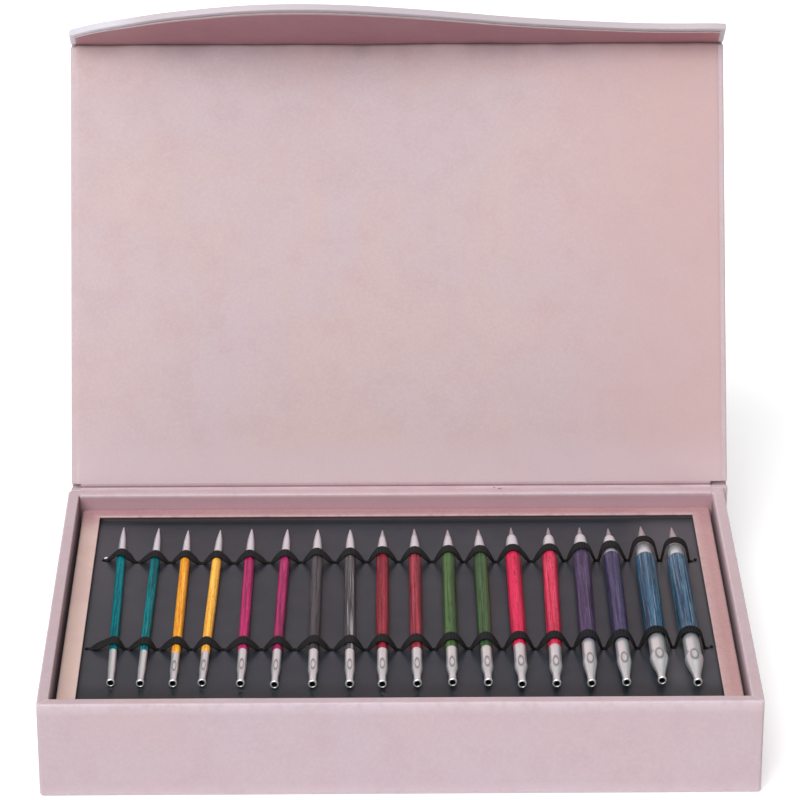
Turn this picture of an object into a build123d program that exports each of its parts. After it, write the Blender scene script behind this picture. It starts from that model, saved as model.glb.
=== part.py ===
from build123d import *
import os
from math import sin, cos, radians, acos, atan2, hypot, pi

os.makedirs("parts", exist_ok=True)

# ---------------------------------------------------------------------------
# Driving dimensions, in millimetres.
# Frame: +X to the right, +Y to the back, +Z up; the origin is the centre of
# the tray's underside.
# ---------------------------------------------------------------------------
TRAY_W = 270.0          # outside width of the tray
TRAY_D = 179.2          # outside depth of the tray
TRAY_H = 39.25          # outside height of the tray
WALL = 4.6              # finished wall, board and paper
PAPER = 0.25            # covering paper
FLOOR_T = 2.5           # floor board

COVER_T = 3.0           # finished thickness of lid and flap
COVER_W = 270.9         # width of lid, flap and spine
COVER_SHIFT = 1.42      # the cover sits this far to the right of the tray
SPINE_T = 2.5           # spine board
LID_LEAN = 27.11        # open lid leans back this far from the vertical
LID_FACE = 0.35         # from the hinge line in to the lid's inner face
LID_START = 0.565       # from the hinge line to the lid's edge
FLAP_OPEN = 105.0       # angle inside, between lid and flap
FLAP_FACE = 0.9         # from the flap's hinge line in to its inner face
FLAP_GAP = 1.2          # from the flap's hinge line to each board
FLAP_AT = 183.4         # from the lid's hinge line to the flap's
LINING_INSET = 2.25     # lining stops short of the cover's side edges

FRAME_TOP = TRAY_H - 6.55     # top of the pink insert frame
FRAME_T = 0.7                 # its card
FRAME_X = 128.95              # half its outer width
FRAME_Y = 84.7                # half its outer depth
WINDOW_X = 121.6              # half the window's width
WINDOW_FRONT = 76.6           # from the middle to the window's front edge
WINDOW_BACK = 78.1            # and to its back edge
SPACER_T = 1.75               # card spacer between frame and panel
PANEL_T = 2.0                 # black needle panel
PANEL_X, PANEL_Y = 126.0, 81.0
PANEL_TOP = FRAME_TOP - FRAME_T - SPACER_T
SKIRT_BOTTOM = FLOOR_T + PAPER + 0.05

ELASTIC_T = 0.8         # elastic band's thickness over a needle
ELASTIC_W = 4.4         # and its width
HOLE_R = 1.3            # holes that the elastic dips through
PLUG_R = 1.15           # elastic gathered in the hole
FOOT = 0.6              # neighbouring arches run into each other by this much

MAGNET_R, MAGNET_T = 5.0, 1.5
MAGNET_X = (-84.0, 8.0)
MAGNET_Z = 22.3         # height of the magnets in the closed case

SOCKET_R = 0.95         # thread core of a needle's cable socket
SOCKET_L = 8.0          # its depth

# each needle: diameter, x at y = 0, angle from +Y in degrees, y of the point,
# y of the socket end, y where the wood meets the socket, length of the point
NEEDLES = [
    (3.50, -110.2, -0.95, 69.4, -60.7, -35.9, 26.5),
    (3.50, -97.5, 0.45, 68.5, -61.3, -36.8, 26.5),
    (3.75, -85.3, 0.33, 66.1, -61.7, -39.0, 25.0),
    (3.75, -73.3, 1.32, 66.2, -61.3, -38.3, 25.0),
    (4.00, -59.6, 0.50, 66.8, -62.2, -37.0, 25.5),
    (4.00, -45.9, 1.26, 66.4, -63.2, -37.5, 25.5),
    (4.50, -32.5, 0.39, 65.5, -63.4, -38.2, 24.8),
    (4.50, -18.9, 0.01, 65.3, -63.5, -38.4, 24.8),
    (5.00, -6.2, 0.35, 64.2, -64.1, -38.4, 24.0),
    (5.00, 6.9, 0.23, 65.1, -63.8, -38.3, 24.6),
    (5.50, 20.3, 0.35, 63.6, -63.5, -37.9, 24.0),
    (5.50, 33.3, -0.08, 63.7, -63.7, -37.7, 24.0),
    (6.00, 46.3, 0.20, 64.9, -65.6, -36.8, 25.4),
    (6.00, 60.4, 1.13, 64.6, -65.3, -37.6, 25.2),
    (6.50, 73.3, 0.96, 64.3, -65.7, -34.8, 25.4),
    (6.50, 85.7, 0.24, 63.2, -65.1, -34.6, 25.8),
    (8.00, 99.0, 0.20, 63.3, -65.2, -33.0, 29.2),
    (8.00, 111.9, -0.20, 62.2, -66.8, -33.2, 29.0),
]
# where the two elastics dip through the panel, left to right
REAR_HOLES = [(-117.5, 43.6), (-104.4, 41.8), (-91.3, 41.4), (-78.6, 40.6), (-65.6, 40.5),
              (-51.4, 40.7), (-38.6, 40.9), (-25.1, 40.9), (-12.4, 41.1), (0.6, 41.0),
              (14.1, 40.9), (26.8, 40.7), (39.6, 40.6), (54.0, 40.8), (67.5, 41.1),
              (80.2, 41.4), (92.6, 41.3), (105.5, 41.1), (117.9, 40.2)]
FRONT_HOLES = [(-119.7, -30.4), (-104.8, -30.7), (-92.8, -31.3), (-79.7, -31.5), (-67.4, -31.8),
               (-52.8, -31.8), (-40.1, -32.1), (-25.8, -32.3), (-12.9, -32.4), (-0.1, -32.5),
               (13.4, -32.3), (26.8, -31.9), (39.7, -32.4), (52.5, -32.4), (66.5, -32.2),
               (78.7, -32.4), (91.8, -32.1), (105.6, -31.7), (118.2, -32.3)]

# ---------------------------------------------------------------------------
# Derived places
# ---------------------------------------------------------------------------
BACK = TRAY_D / 2
HINGE = (0, BACK + 2.95, TRAY_H + 0.5)
lean = radians(LID_LEAN)
lid_up = Vector(0, sin(lean), cos(lean))
lid_in = Vector(0, -cos(lean), sin(lean))
# local x is X, local y runs up the lid, local z points into the case
lid_plane = Plane(origin=HINGE, x_dir=(1, 0, 0), z_dir=lid_in)
flap_hinge = Vector(*HINGE) + lid_up * FLAP_AT + lid_in * (LID_FACE - FLAP_FACE)
turn = radians(90 - LID_LEAN + 180 - FLAP_OPEN)
flap_in = Vector(0, -sin(turn), cos(turn))
flap_plane = Plane(origin=flap_hinge, x_dir=(1, 0, 0), z_dir=flap_in)
HALF = COVER_W / 2

# free edge of the flap: x from the cover's middle, distance from the hinge
FLAP_EDGE = [(-135.45, 10.0), (-128.0, 14.8), (-113.7, 21.1), (-97.0, 27.3),
             (-80.4, 31.6), (-62.0, 35.1), (-41.0, 36.3), (-23.4, 35.4),
             (1.0, 31.8), (23.5, 27.4), (48.0, 22.1), (73.0, 18.2),
             (98.0, 15.3), (122.0, 14.5), (132.0, 14.4), (135.45, 14.0)]


def flap_outline(side, edge, start):
    """Points of the flap's free edge, moved in by side and edge, from start."""
    pts = []
    for x, r in FLAP_EDGE:
        x = max(-HALF + side, min(HALF - side, x))
        pts.append((x + COVER_SHIFT, max(r - edge, start + 1.0)))
    return pts


# ---------------------------------------------------------------------------
# Tray: five boards, the covering paper and the floor's lining
# ---------------------------------------------------------------------------
BOARD = WALL - 2 * PAPER
out_x, out_y = TRAY_W / 2 - PAPER, TRAY_D / 2 - PAPER
in_x, in_y = out_x - BOARD, out_y - BOARD
top = TRAY_H - PAPER

with BuildPart() as tray_floor_board:
    with BuildSketch(Plane.XY):
        Rectangle(2 * in_x, 2 * in_y)
    extrude(amount=FLOOR_T)

with BuildPart() as tray_front_board:
    with BuildSketch(Plane.XY):
        with Locations((0, -(out_y + in_y) / 2)):
            Rectangle(2 * out_x, BOARD)
    extrude(amount=top)
    # pockets for the closure's magnets, under the covering paper
    with BuildSketch(Plane(origin=(0, -out_y, MAGNET_Z), x_dir=(1, 0, 0), z_dir=(0, -1, 0))):
        with Locations(*[(x + COVER_SHIFT, 0) for x in MAGNET_X]):
            Circle(MAGNET_R + 0.05)
    extrude(amount=-(MAGNET_T + 0.05), mode=Mode.SUBTRACT)

with BuildPart() as tray_back_board:
    with BuildSketch(Plane.XY):
        with Locations((0, (out_y + in_y) / 2)):
            Rectangle(2 * out_x, BOARD)
    extrude(amount=top)

with BuildPart() as tray_left_board:
    with BuildSketch(Plane.XY):
        with Locations((-(out_x + in_x) / 2, 0)):
            Rectangle(BOARD, 2 * in_y)
    extrude(amount=top)

with BuildPart() as tray_right_board:
    with BuildSketch(Plane.XY):
        with Locations(((out_x + in_x) / 2, 0)):
            Rectangle(BOARD, 2 * in_y)
    extrude(amount=top)

with BuildPart() as tray_wrap_paper:
    # outside skin
    with BuildSketch(Plane.XY):
        Rectangle(TRAY_W, TRAY_D)
        Rectangle(2 * out_x, 2 * out_y, mode=Mode.SUBTRACT)
    extrude(amount=TRAY_H)
    # turned over the rim
    with BuildSketch(Plane.XY.offset(top)):
        Rectangle(TRAY_W, TRAY_D)
        Rectangle(2 * (in_x - PAPER), 2 * (in_y - PAPER), mode=Mode.SUBTRACT)
    extrude(amount=PAPER)
    # and down the inside to the floor
    with BuildSketch(Plane.XY.offset(FLOOR_T)):
        Rectangle(2 * in_x, 2 * in_y)
        Rectangle(2 * (in_x - PAPER), 2 * (in_y - PAPER), mode=Mode.SUBTRACT)
    extrude(amount=TRAY_H - FLOOR_T)

with BuildPart() as tray_floor_lining:
    with BuildSketch(Plane.XY.offset(FLOOR_T)):
        Rectangle(2 * (in_x - PAPER) - 0.1, 2 * (in_y - PAPER) - 0.1)
    extrude(amount=PAPER)

with BuildPart() as front_wall_magnets:
    with BuildSketch(Plane(origin=(0, -out_y, MAGNET_Z), x_dir=(1, 0, 0), z_dir=(0, -1, 0))):
        with Locations(*[(x + COVER_SHIFT, 0) for x in MAGNET_X]):
            Circle(MAGNET_R)
    extrude(amount=-MAGNET_T)

# ---------------------------------------------------------------------------
# Spine, glued to the tray's back wall
# ---------------------------------------------------------------------------
with BuildPart() as spine_board:
    with BuildSketch(Plane.XY):
        with Locations((COVER_SHIFT, BACK + SPINE_T / 2)):
            Rectangle(COVER_W - 2 * PAPER, SPINE_T)
    extrude(amount=TRAY_H)

with BuildPart() as spine_cover_paper:
    with BuildSketch(Plane.XY):
        with Locations((COVER_SHIFT, BACK + (SPINE_T + PAPER) / 2)):
            Rectangle(COVER_W, SPINE_T + PAPER)
        with Locations((COVER_SHIFT, BACK + SPINE_T / 2)):
            Rectangle(COVER_W - 2 * PAPER, SPINE_T, mode=Mode.SUBTRACT)
    extrude(amount=TRAY_H)

# ---------------------------------------------------------------------------
# Lid
# ---------------------------------------------------------------------------
lid_end = FLAP_AT - FLAP_GAP
lid_mid = (LID_START + lid_end) / 2
lid_len = lid_end - LID_START
w_in = LID_FACE - PAPER                 # board's inner face
w_out = LID_FACE - COVER_T + PAPER      # board's outer face

with BuildPart() as lid_board:
    with BuildSketch(lid_plane.offset(w_out)):
        with Locations((COVER_SHIFT, lid_mid)):
            Rectangle(COVER_W - 2 * PAPER, lid_len - 2 * PAPER)
    extrude(amount=w_in - w_out)

with BuildPart() as lid_cover_paper:
    with BuildSketch(lid_plane.offset(w_out - PAPER)):
        with Locations((COVER_SHIFT, lid_mid)):
            Rectangle(COVER_W, lid_len)
    extrude(amount=PAPER)
    # the four edges
    with BuildSketch(lid_plane.offset(w_out - PAPER)):
        with Locations((COVER_SHIFT, lid_mid)):
            Rectangle(COVER_W, lid_len)
            Rectangle(COVER_W - 2 * PAPER, lid_len - 2 * PAPER, mode=Mode.SUBTRACT)
    extrude(amount=COVER_T - 0.05)
    # the turned-in margin that shows beside the lining
    with BuildSketch(lid_plane.offset(w_in)):
        with Locations((COVER_SHIFT, lid_mid)):
            Rectangle(COVER_W, lid_len)
            Rectangle(COVER_W - 2 * LINING_INSET, lid_len - 2 * PAPER, mode=Mode.SUBTRACT)
    extrude(amount=PAPER - 0.05)

with BuildPart() as lid_lining_paper:
    with BuildSketch(lid_plane.offset(w_in)):
        with Locations((COVER_SHIFT, lid_mid)):
            Rectangle(COVER_W - 2 * LINING_INSET - 0.1, lid_len - 2 * PAPER - 0.1)
    extrude(amount=PAPER)

with BuildPart() as lid_hinge_crease:
    # folded paper joint, round about the hinge line
    with BuildSketch(Plane(origin=(COVER_SHIFT - HALF + 0.5, HINGE[1], HINGE[2]), z_dir=(1, 0, 0))):
        Circle(0.42)
    extrude(amount=COVER_W - 1.0)

# ---------------------------------------------------------------------------
# Flap with its waved free edge
# ---------------------------------------------------------------------------
f_in = FLAP_FACE - PAPER
f_out = FLAP_FACE - COVER_T + PAPER

with BuildPart() as flap_board:
    pts = flap_outline(PAPER, PAPER, FLAP_GAP + PAPER)
    with BuildSketch(flap_plane.offset(f_out)):
        with BuildLine():
            Spline(*pts)
            Polyline(pts[-1], (HALF - PAPER + COVER_SHIFT, FLAP_GAP + PAPER),
                     (-HALF + PAPER + COVER_SHIFT, FLAP_GAP + PAPER), pts[0])
        make_face()
    extrude(amount=f_in - f_out)
    with BuildSketch(flap_plane.offset(f_in)):
        with Locations(*[(x + COVER_SHIFT, 18.0) for x in MAGNET_X]):
            Circle(MAGNET_R + 0.05)
    extrude(amount=-(MAGNET_T + 0.05), mode=Mode.SUBTRACT)

with BuildPart() as flap_magnets:
    with BuildSketch(flap_plane.offset(f_in)):
        with Locations(*[(x + COVER_SHIFT, 18.0) for x in MAGNET_X]):
            Circle(MAGNET_R)
    extrude(amount=-MAGNET_T)

with BuildPart() as flap_cover_paper:
    outer = flap_outline(0, 0, FLAP_GAP)
    inner = flap_outline(PAPER, PAPER, FLAP_GAP + PAPER)
    with BuildSketch(flap_plane.offset(f_out - PAPER)):
        with BuildLine():
            Spline(*outer)
            Polyline(outer[-1], (HALF + COVER_SHIFT, FLAP_GAP),
                     (-HALF + COVER_SHIFT, FLAP_GAP), outer[0])
        make_face()
    extrude(amount=COVER_T - 0.05)
    with BuildSketch(flap_plane.offset(f_out)):
        with BuildLine():
            Spline(*inner)
            Polyline(inner[-1], (HALF - PAPER + COVER_SHIFT, FLAP_GAP + PAPER),
                     (-HALF + PAPER + COVER_SHIFT, FLAP_GAP + PAPER), inner[0])
        make_face()
    extrude(amount=f_in - f_out, mode=Mode.SUBTRACT)
    # opening that the lining fills
    hole = flap_outline(LINING_INSET, LINING_INSET, FLAP_GAP + PAPER)
    with BuildSketch(flap_plane.offset(f_in)):
        with BuildLine():
            Spline(*hole)
            Polyline(hole[-1], (HALF - LINING_INSET + COVER_SHIFT, FLAP_GAP + PAPER),
                     (-HALF + LINING_INSET + COVER_SHIFT, FLAP_GAP + PAPER), hole[0])
        make_face()
    extrude(amount=PAPER, mode=Mode.SUBTRACT)

with BuildPart() as flap_lining_paper:
    fill = flap_outline(LINING_INSET + 0.06, LINING_INSET + 0.06, FLAP_GAP + PAPER)
    with BuildSketch(flap_plane.offset(f_in)):
        with BuildLine():
            Spline(*fill)
            Polyline(fill[-1], (HALF - LINING_INSET - 0.06 + COVER_SHIFT, FLAP_GAP + PAPER + 0.06),
                     (-HALF + LINING_INSET + 0.06 + COVER_SHIFT, FLAP_GAP + PAPER + 0.06), fill[0])
        make_face()
    extrude(amount=PAPER)

with BuildPart() as flap_hinge_crease:
    with BuildSketch(Plane(origin=(COVER_SHIFT - HALF + 0.5, flap_hinge.Y, flap_hinge.Z), z_dir=(1, 0, 0))):
        Circle(0.8)
    extrude(amount=COVER_W - 1.0)

# ---------------------------------------------------------------------------
# Lift-out platform: framed card, spacer, black panel and the two elastics
# ---------------------------------------------------------------------------
with BuildPart() as platform_frame:
    with BuildSketch(Plane.XY.offset(FRAME_TOP - FRAME_T)):
        Rectangle(2 * FRAME_X, 2 * FRAME_Y)
        with Locations((0, (WINDOW_BACK - WINDOW_FRONT) / 2)):
            Rectangle(2 * WINDOW_X, WINDOW_BACK + WINDOW_FRONT, mode=Mode.SUBTRACT)
    extrude(amount=FRAME_T)
    # folded-down skirt that holds the platform above the floor
    with BuildSketch(Plane.XY.offset(SKIRT_BOTTOM)):
        Rectangle(2 * FRAME_X, 2 * FRAME_Y)
        Rectangle(2 * (FRAME_X - FRAME_T), 2 * (FRAME_Y - FRAME_T), mode=Mode.SUBTRACT)
    extrude(amount=FRAME_TOP - FRAME_T - SKIRT_BOTTOM)

with BuildPart() as panel_spacer_frame:
    with BuildSketch(Plane.XY.offset(PANEL_TOP)):
        Rectangle(2 * PANEL_X, 2 * PANEL_Y)
        with Locations((0, (WINDOW_BACK - WINDOW_FRONT) / 2)):
            Rectangle(2 * WINDOW_X + 2.0, WINDOW_BACK + WINDOW_FRONT + 2.0, mode=Mode.SUBTRACT)
    extrude(amount=SPACER_T)

with BuildPart() as needle_panel:
    with BuildSketch(Plane.XY.offset(PANEL_TOP - PANEL_T)):
        Rectangle(2 * PANEL_X, 2 * PANEL_Y)
        with Locations(*REAR_HOLES, *FRONT_HOLES):
            Circle(HOLE_R, mode=Mode.SUBTRACT)
    extrude(amount=PANEL_T)


def needle_z(dia):
    """Height of a needle's axis: it lies on the panel."""
    return PANEL_TOP + 0.05 + dia / 2


def needle_x(needle, y):
    """x of a needle's axis at y."""
    return needle[1] + y * sin(radians(needle[2])) / cos(radians(needle[2]))


def point_profile(dia, length):
    """The metal point: distances from its tip, and radii."""
    R = dia / 2
    if dia < 4.9:
        shares = [(0.5, 0.10), (2.5, 0.27), (5.75, 0.48), (11.0, 0.71), (19.0, 0.86), (length, 0.93)]
    elif dia < 5.9:
        shares = [(0.5, 0.09), (3.0, 0.24), (7.9, 0.51), (12.0, 0.68), (18.0, 0.84), (length, 0.93)]
    elif dia < 7.0:
        shares = [(0.5, 0.08), (4.0, 0.24), (8.4, 0.44), (9.4, 0.60), (11.0, 0.72), (16.0, 0.84), (length, 0.93)]
    else:
        shares = [(0.5, 0.07), (5.0, 0.26), (10.0, 0.44), (17.5, 0.68), (19.0, 0.775), (length, 0.80)]
    return [(t, max(0.22, k * R)) for t, k in shares]


# cable sockets: radius of the sleeve beside the wood, and of the bulge before the taper
SLEEVES = {3.5: (1.49, 1.49), 3.75: (1.60, 1.60), 4.0: (1.76, 1.76), 4.5: (1.90, 1.95), 5.0: (2.05, 2.08),
           5.5: (2.17, 2.28), 6.0: (2.40, 2.52), 6.5: (2.66, 2.80), 8.0: (3.20, 3.57)}


def shaft_profile(dia):
    """The wood in front: distances from the socket's seam, and radii."""
    R = dia / 2
    return [(0.0, SLEEVES[dia][0] + 0.09), (6.0, 0.935 * R), (30.0, R)]


def needle_radius(needle, y):
    """Radius of the wood or the point where an elastic crosses at y."""
    dia, x0, angle, y_tip, y_end, y_wood, length = needle
    t = y_tip - y
    if t < length:
        profile = point_profile(dia, length)
        for (t0, r0), (t1, r1) in zip(profile, profile[1:]):
            if t0 <= t <= t1:
                return r0 + (r1 - r0) * (t - t0) / (t1 - t0)
    if y < y_wood:
        return SLEEVES[dia][1]
    t = y - y_wood
    profile = shaft_profile(dia)
    for (t0, r0), (t1, r1) in zip(profile, profile[1:]):
        if t0 <= t <= t1:
            return r0 + (r1 - r0) * (t - t0) / (t1 - t0)
    return dia / 2


def touch(foot, centre, radius, side):
    """Point where a line from foot meets a circle; side is +1 right, -1 left."""
    dx, dz = foot[0] - centre[0], foot[1] - centre[1]
    dist = hypot(dx, dz)
    a = atan2(dz, dx) + side * acos(radius / dist)
    return (centre[0] + radius * cos(a), centre[1] + radius * sin(a))


def elastic(holes):
    """One elastic: an arch over each needle, dipping through the panel between them."""
    base = PANEL_TOP + 0.05
    with BuildPart() as band:
        for needle, (xa, ya), (xb, yb) in zip(NEEDLES, holes, holes[1:]):
            span = hypot(xb - xa, yb - ya)
            c, n = (xb - xa) / span, (yb - ya) / span
            y_mid = (ya + yb) / 2
            cx, cz = (needle_x(needle, y_mid) - xa) / c, needle_z(needle[0])
            # every width that the needle has under the band as it slides, and some room
            widest = max(needle_radius(needle, y_mid + k) for k in (-8.75, -6.5, -3.0, 0.0, 3.0, 6.5, 10.25))
            r_in = widest + 0.22
            r_out = r_in + ELASTIC_T
            upright = Plane(origin=(xa - n * ELASTIC_W / 2, ya + c * ELASTIC_W / 2, 0),
                            x_dir=(c, n, 0), z_dir=(n, -c, 0))
            lo, ro = (-FOOT, base), (span + FOOT, base)
            li, ri = (1.05, base), (span - 1.05, base)
            tlo, tro = touch(lo, (cx, cz), r_out, -1), touch(ro, (cx, cz), r_out, 1)
            tli, tri = touch(li, (cx, cz), r_in, -1), touch(ri, (cx, cz), r_in, 1)
            with BuildSketch(upright):
                with BuildLine():
                    Line(lo, tlo)
                    ThreePointArc(tlo, (cx, cz + r_out), tro)
                    Line(tro, ro)
                    Line(ro, ri)
                    Line(ri, tri)
                    ThreePointArc(tri, (cx, cz + r_in), tli)
                    Line(tli, li)
                    Line(li, lo)
                make_face()
            extrude(amount=ELASTIC_W)
        # gathered through the holes, with a knot under the panel
        with BuildSketch(Plane.XY.offset(PANEL_TOP - PANEL_T - 0.3)):
            with Locations(*holes):
                Circle(PLUG_R)
        extrude(amount=PANEL_T + 0.3 + 0.45)
        with BuildSketch(Plane.XY.offset(PANEL_TOP - PANEL_T - 1.25)):
            with Locations(*holes):
                Circle(2.0)
        extrude(amount=1.2)
    return band


rear_elastic = elastic(REAR_HOLES)
front_elastic = elastic(FRONT_HOLES)

pieces = {
    "tray_floor_board": tray_floor_board, "tray_front_board": tray_front_board,
    "tray_back_board": tray_back_board, "tray_left_board": tray_left_board,
    "tray_right_board": tray_right_board, "tray_wrap_paper": tray_wrap_paper,
    "tray_floor_lining": tray_floor_lining, "front_wall_magnets": front_wall_magnets,
    "spine_board": spine_board, "spine_cover_paper": spine_cover_paper,
    "lid_board": lid_board, "lid_cover_paper": lid_cover_paper,
    "lid_lining_paper": lid_lining_paper, "lid_hinge_crease": lid_hinge_crease,
    "flap_board": flap_board, "flap_magnets": flap_magnets,
    "flap_cover_paper": flap_cover_paper, "flap_lining_paper": flap_lining_paper,
    "flap_hinge_crease": flap_hinge_crease, "platform_frame": platform_frame,
    "panel_spacer_frame": panel_spacer_frame, "needle_panel": needle_panel,
    "rear_elastic": rear_elastic, "front_elastic": front_elastic,
}

# ---------------------------------------------------------------------------
# Needles: a dyed wooden shaft, a metal point and a metal cable socket each
# ---------------------------------------------------------------------------
for number, (dia, x0, angle, y_tip, y_end, y_wood, point) in enumerate(NEEDLES, 1):
    a = radians(angle)
    along = (sin(a), cos(a), 0)
    origin = (x0, 0, needle_z(dia))
    # local x runs along the needle towards its point, local y is up
    profile_plane = Plane(origin=origin, x_dir=along, z_dir=(cos(a), -sin(a), 0))
    spin = Axis(origin, along)
    R = dia / 2
    tenon = 1.15 if dia < 3.9 else 0.56 * R
    t_len = 6.0
    tip, end, joint = y_tip / cos(a), y_end / cos(a), y_wood / cos(a)
    base = tip - point                    # where the metal point meets the wood
    profile = point_profile(dia, point)
    r_front = R if dia < 7.0 else 0.93 * R

    with BuildPart() as shaft:
        with BuildSketch(profile_plane):
            with BuildLine():
                Polyline((joint - t_len, 0), (joint - t_len, tenon), (joint, tenon),
                         *[(joint + t, r) for t, r in shaft_profile(dia)], (base - 2.0, R), (base, r_front),
                         (base, tenon), (base + t_len, tenon), (base + t_len, 0), close=True)
            make_face()
        revolve(axis=spin)
    pieces["needle_%02d_shaft" % number] = shaft

    neck_r = 1.45
    sleeve, bulge = SLEEVES[dia]
    length = joint - end
    bulge_at = end + (0.46 if dia < 6.4 else 0.52) * length
    neck_at = end + (0.22 if dia < 6.4 else 0.12) * length
    with BuildPart() as metal:
        # point, with a socket for the wood's tenon
        with BuildSketch(profile_plane):
            with BuildLine():
                Polyline((tip, 0), *[(tip - t, r) for t, r in profile],
                         (base, tenon + 0.02), (base + t_len + 0.2, tenon + 0.02),
                         (base + t_len + 0.2, 0), close=True)
            make_face()
        revolve(axis=spin)
        # cable socket: sleeve, bulge, taper, neck, flared ring and threaded bore
        with BuildSketch(profile_plane):
            with BuildLine():
                Polyline((joint, tenon + 0.02), (joint, sleeve), (bulge_at + 3.0, sleeve), (bulge_at, bulge),
                         (neck_at, neck_r), (end + 1.6, neck_r), (end + 1.15, 1.66),
                         (end + 0.3, 1.72), (end, 1.5), (end, SOCKET_R), (end + SOCKET_L, SOCKET_R),
                         (end + SOCKET_L, 0), (joint - t_len - 0.2, 0),
                         (joint - t_len - 0.2, tenon + 0.02), close=True)
            make_face()
        revolve(axis=spin)
    pieces["needle_%02d_metal_ends" % number] = metal

for name, piece in pieces.items():
    piece.part.label = name
    export_step(piece.part, "parts/%s.step" % name)
print(len(pieces), "nodes")
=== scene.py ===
"""The looks of the needle case: paper, card, dyed wood, metal and elastic."""
import bpy
import bmesh
from math import sin, cos, tan, radians, degrees, pi, hypot, atan2, acos, sqrt, exp, floor
from mathutils import Vector, Matrix, noise


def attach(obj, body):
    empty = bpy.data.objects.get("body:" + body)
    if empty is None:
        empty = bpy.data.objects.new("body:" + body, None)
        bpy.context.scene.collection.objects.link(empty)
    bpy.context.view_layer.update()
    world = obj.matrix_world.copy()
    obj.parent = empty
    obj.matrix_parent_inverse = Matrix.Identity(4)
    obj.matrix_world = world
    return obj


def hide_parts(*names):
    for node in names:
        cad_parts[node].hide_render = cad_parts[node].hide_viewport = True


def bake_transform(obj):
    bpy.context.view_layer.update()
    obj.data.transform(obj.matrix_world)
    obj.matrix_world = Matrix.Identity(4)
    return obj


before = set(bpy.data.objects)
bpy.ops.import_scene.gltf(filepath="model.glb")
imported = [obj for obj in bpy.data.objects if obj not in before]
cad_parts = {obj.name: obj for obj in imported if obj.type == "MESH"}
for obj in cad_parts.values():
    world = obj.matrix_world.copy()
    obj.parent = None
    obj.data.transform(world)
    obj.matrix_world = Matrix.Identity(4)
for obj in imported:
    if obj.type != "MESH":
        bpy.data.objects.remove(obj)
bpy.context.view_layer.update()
scene = bpy.context.scene

# ---------------------------------------------------------------------------
# Sizes in millimetres, the same as the construction's
# ---------------------------------------------------------------------------
HX, HY = 135.0, 89.6              # half the tray's outside
WALL = 4.6
IX, IY = HX - WALL, HY - WALL     # half its inside
TRAY_H = 39.25
FLOOR_Z = 2.5
SHIFT = 1.42                      # the cover sits this far to the right
HALF = 135.45                     # half the cover's width
LEAN = radians(27.11)
PY, PZ = 92.55, 39.75             # the lid's hinge line
FLAP_AT, FLAP_W = 183.4, -0.55    # the flap's hinge line, in the lid's plane
LID_END = 182.2
FRAME_TOP, FRAME_T = 32.70, 0.7
FRAME_X, FRAME_Y = 128.95, 84.7
WINDOW_X, WINDOW_FRONT, WINDOW_BACK = 121.6, 76.6, 78.1
PANEL_TOP, PANEL_T = 30.25, 2.0

FLAP_EDGE = [(-135.45, 10.0), (-128.0, 14.8), (-113.7, 21.1), (-97.0, 27.3),
             (-80.4, 31.6), (-62.0, 35.1), (-41.0, 36.3), (-23.4, 35.4),
             (1.0, 31.8), (23.5, 27.4), (48.0, 22.1), (73.0, 18.2),
             (98.0, 15.3), (122.0, 14.5), (132.0, 14.4), (135.45, 14.0)]

NEEDLES = [
    (3.50, -110.2, -0.95, 69.4, -60.7, -35.9, 26.5),
    (3.50, -97.5, 0.45, 68.5, -61.3, -36.8, 26.5),
    (3.75, -85.3, 0.33, 66.1, -61.7, -39.0, 25.0),
    (3.75, -73.3, 1.32, 66.2, -61.3, -38.3, 25.0),
    (4.00, -59.6, 0.50, 66.8, -62.2, -37.0, 25.5),
    (4.00, -45.9, 1.26, 66.4, -63.2, -37.5, 25.5),
    (4.50, -32.5, 0.39, 65.5, -63.4, -38.2, 24.8),
    (4.50, -18.9, 0.01, 65.3, -63.5, -38.4, 24.8),
    (5.00, -6.2, 0.35, 64.2, -64.1, -38.4, 24.0),
    (5.00, 6.9, 0.23, 65.1, -63.8, -38.3, 24.6),
    (5.50, 20.3, 0.35, 63.6, -63.5, -37.9, 24.0),
    (5.50, 33.3, -0.08, 63.7, -63.7, -37.7, 24.0),
    (6.00, 46.3, 0.20, 64.9, -65.6, -36.8, 25.4),
    (6.00, 60.4, 1.13, 64.6, -65.3, -37.6, 25.2),
    (6.50, 73.3, 0.96, 64.3, -65.7, -34.8, 25.4),
    (6.50, 85.7, 0.24, 63.2, -65.1, -34.6, 25.8),
    (8.00, 99.0, 0.20, 63.3, -65.2, -33.0, 29.2),
    (8.00, 111.9, -0.20, 62.2, -66.8, -33.2, 29.0),
]
REAR_HOLES = [(-117.5, 43.6), (-104.4, 41.8), (-91.3, 41.4), (-78.6, 40.6), (-65.6, 40.5),
              (-51.4, 40.7), (-38.6, 40.9), (-25.1, 40.9), (-12.4, 41.1), (0.6, 41.0),
              (14.1, 40.9), (26.8, 40.7), (39.6, 40.6), (54.0, 40.8), (67.5, 41.1),
              (80.2, 41.4), (92.6, 41.3), (105.5, 41.1), (117.9, 40.2)]
FRONT_HOLES = [(-119.7, -30.4), (-104.8, -30.7), (-92.8, -31.3), (-79.7, -31.5), (-67.4, -31.8),
               (-52.8, -31.8), (-40.1, -32.1), (-25.8, -32.3), (-12.9, -32.4), (-0.1, -32.5),
               (13.4, -32.3), (26.8, -31.9), (39.7, -32.4), (52.5, -32.4), (66.5, -32.2),
               (78.7, -32.4), (91.8, -32.1), (105.6, -31.7), (118.2, -32.3)]

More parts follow.
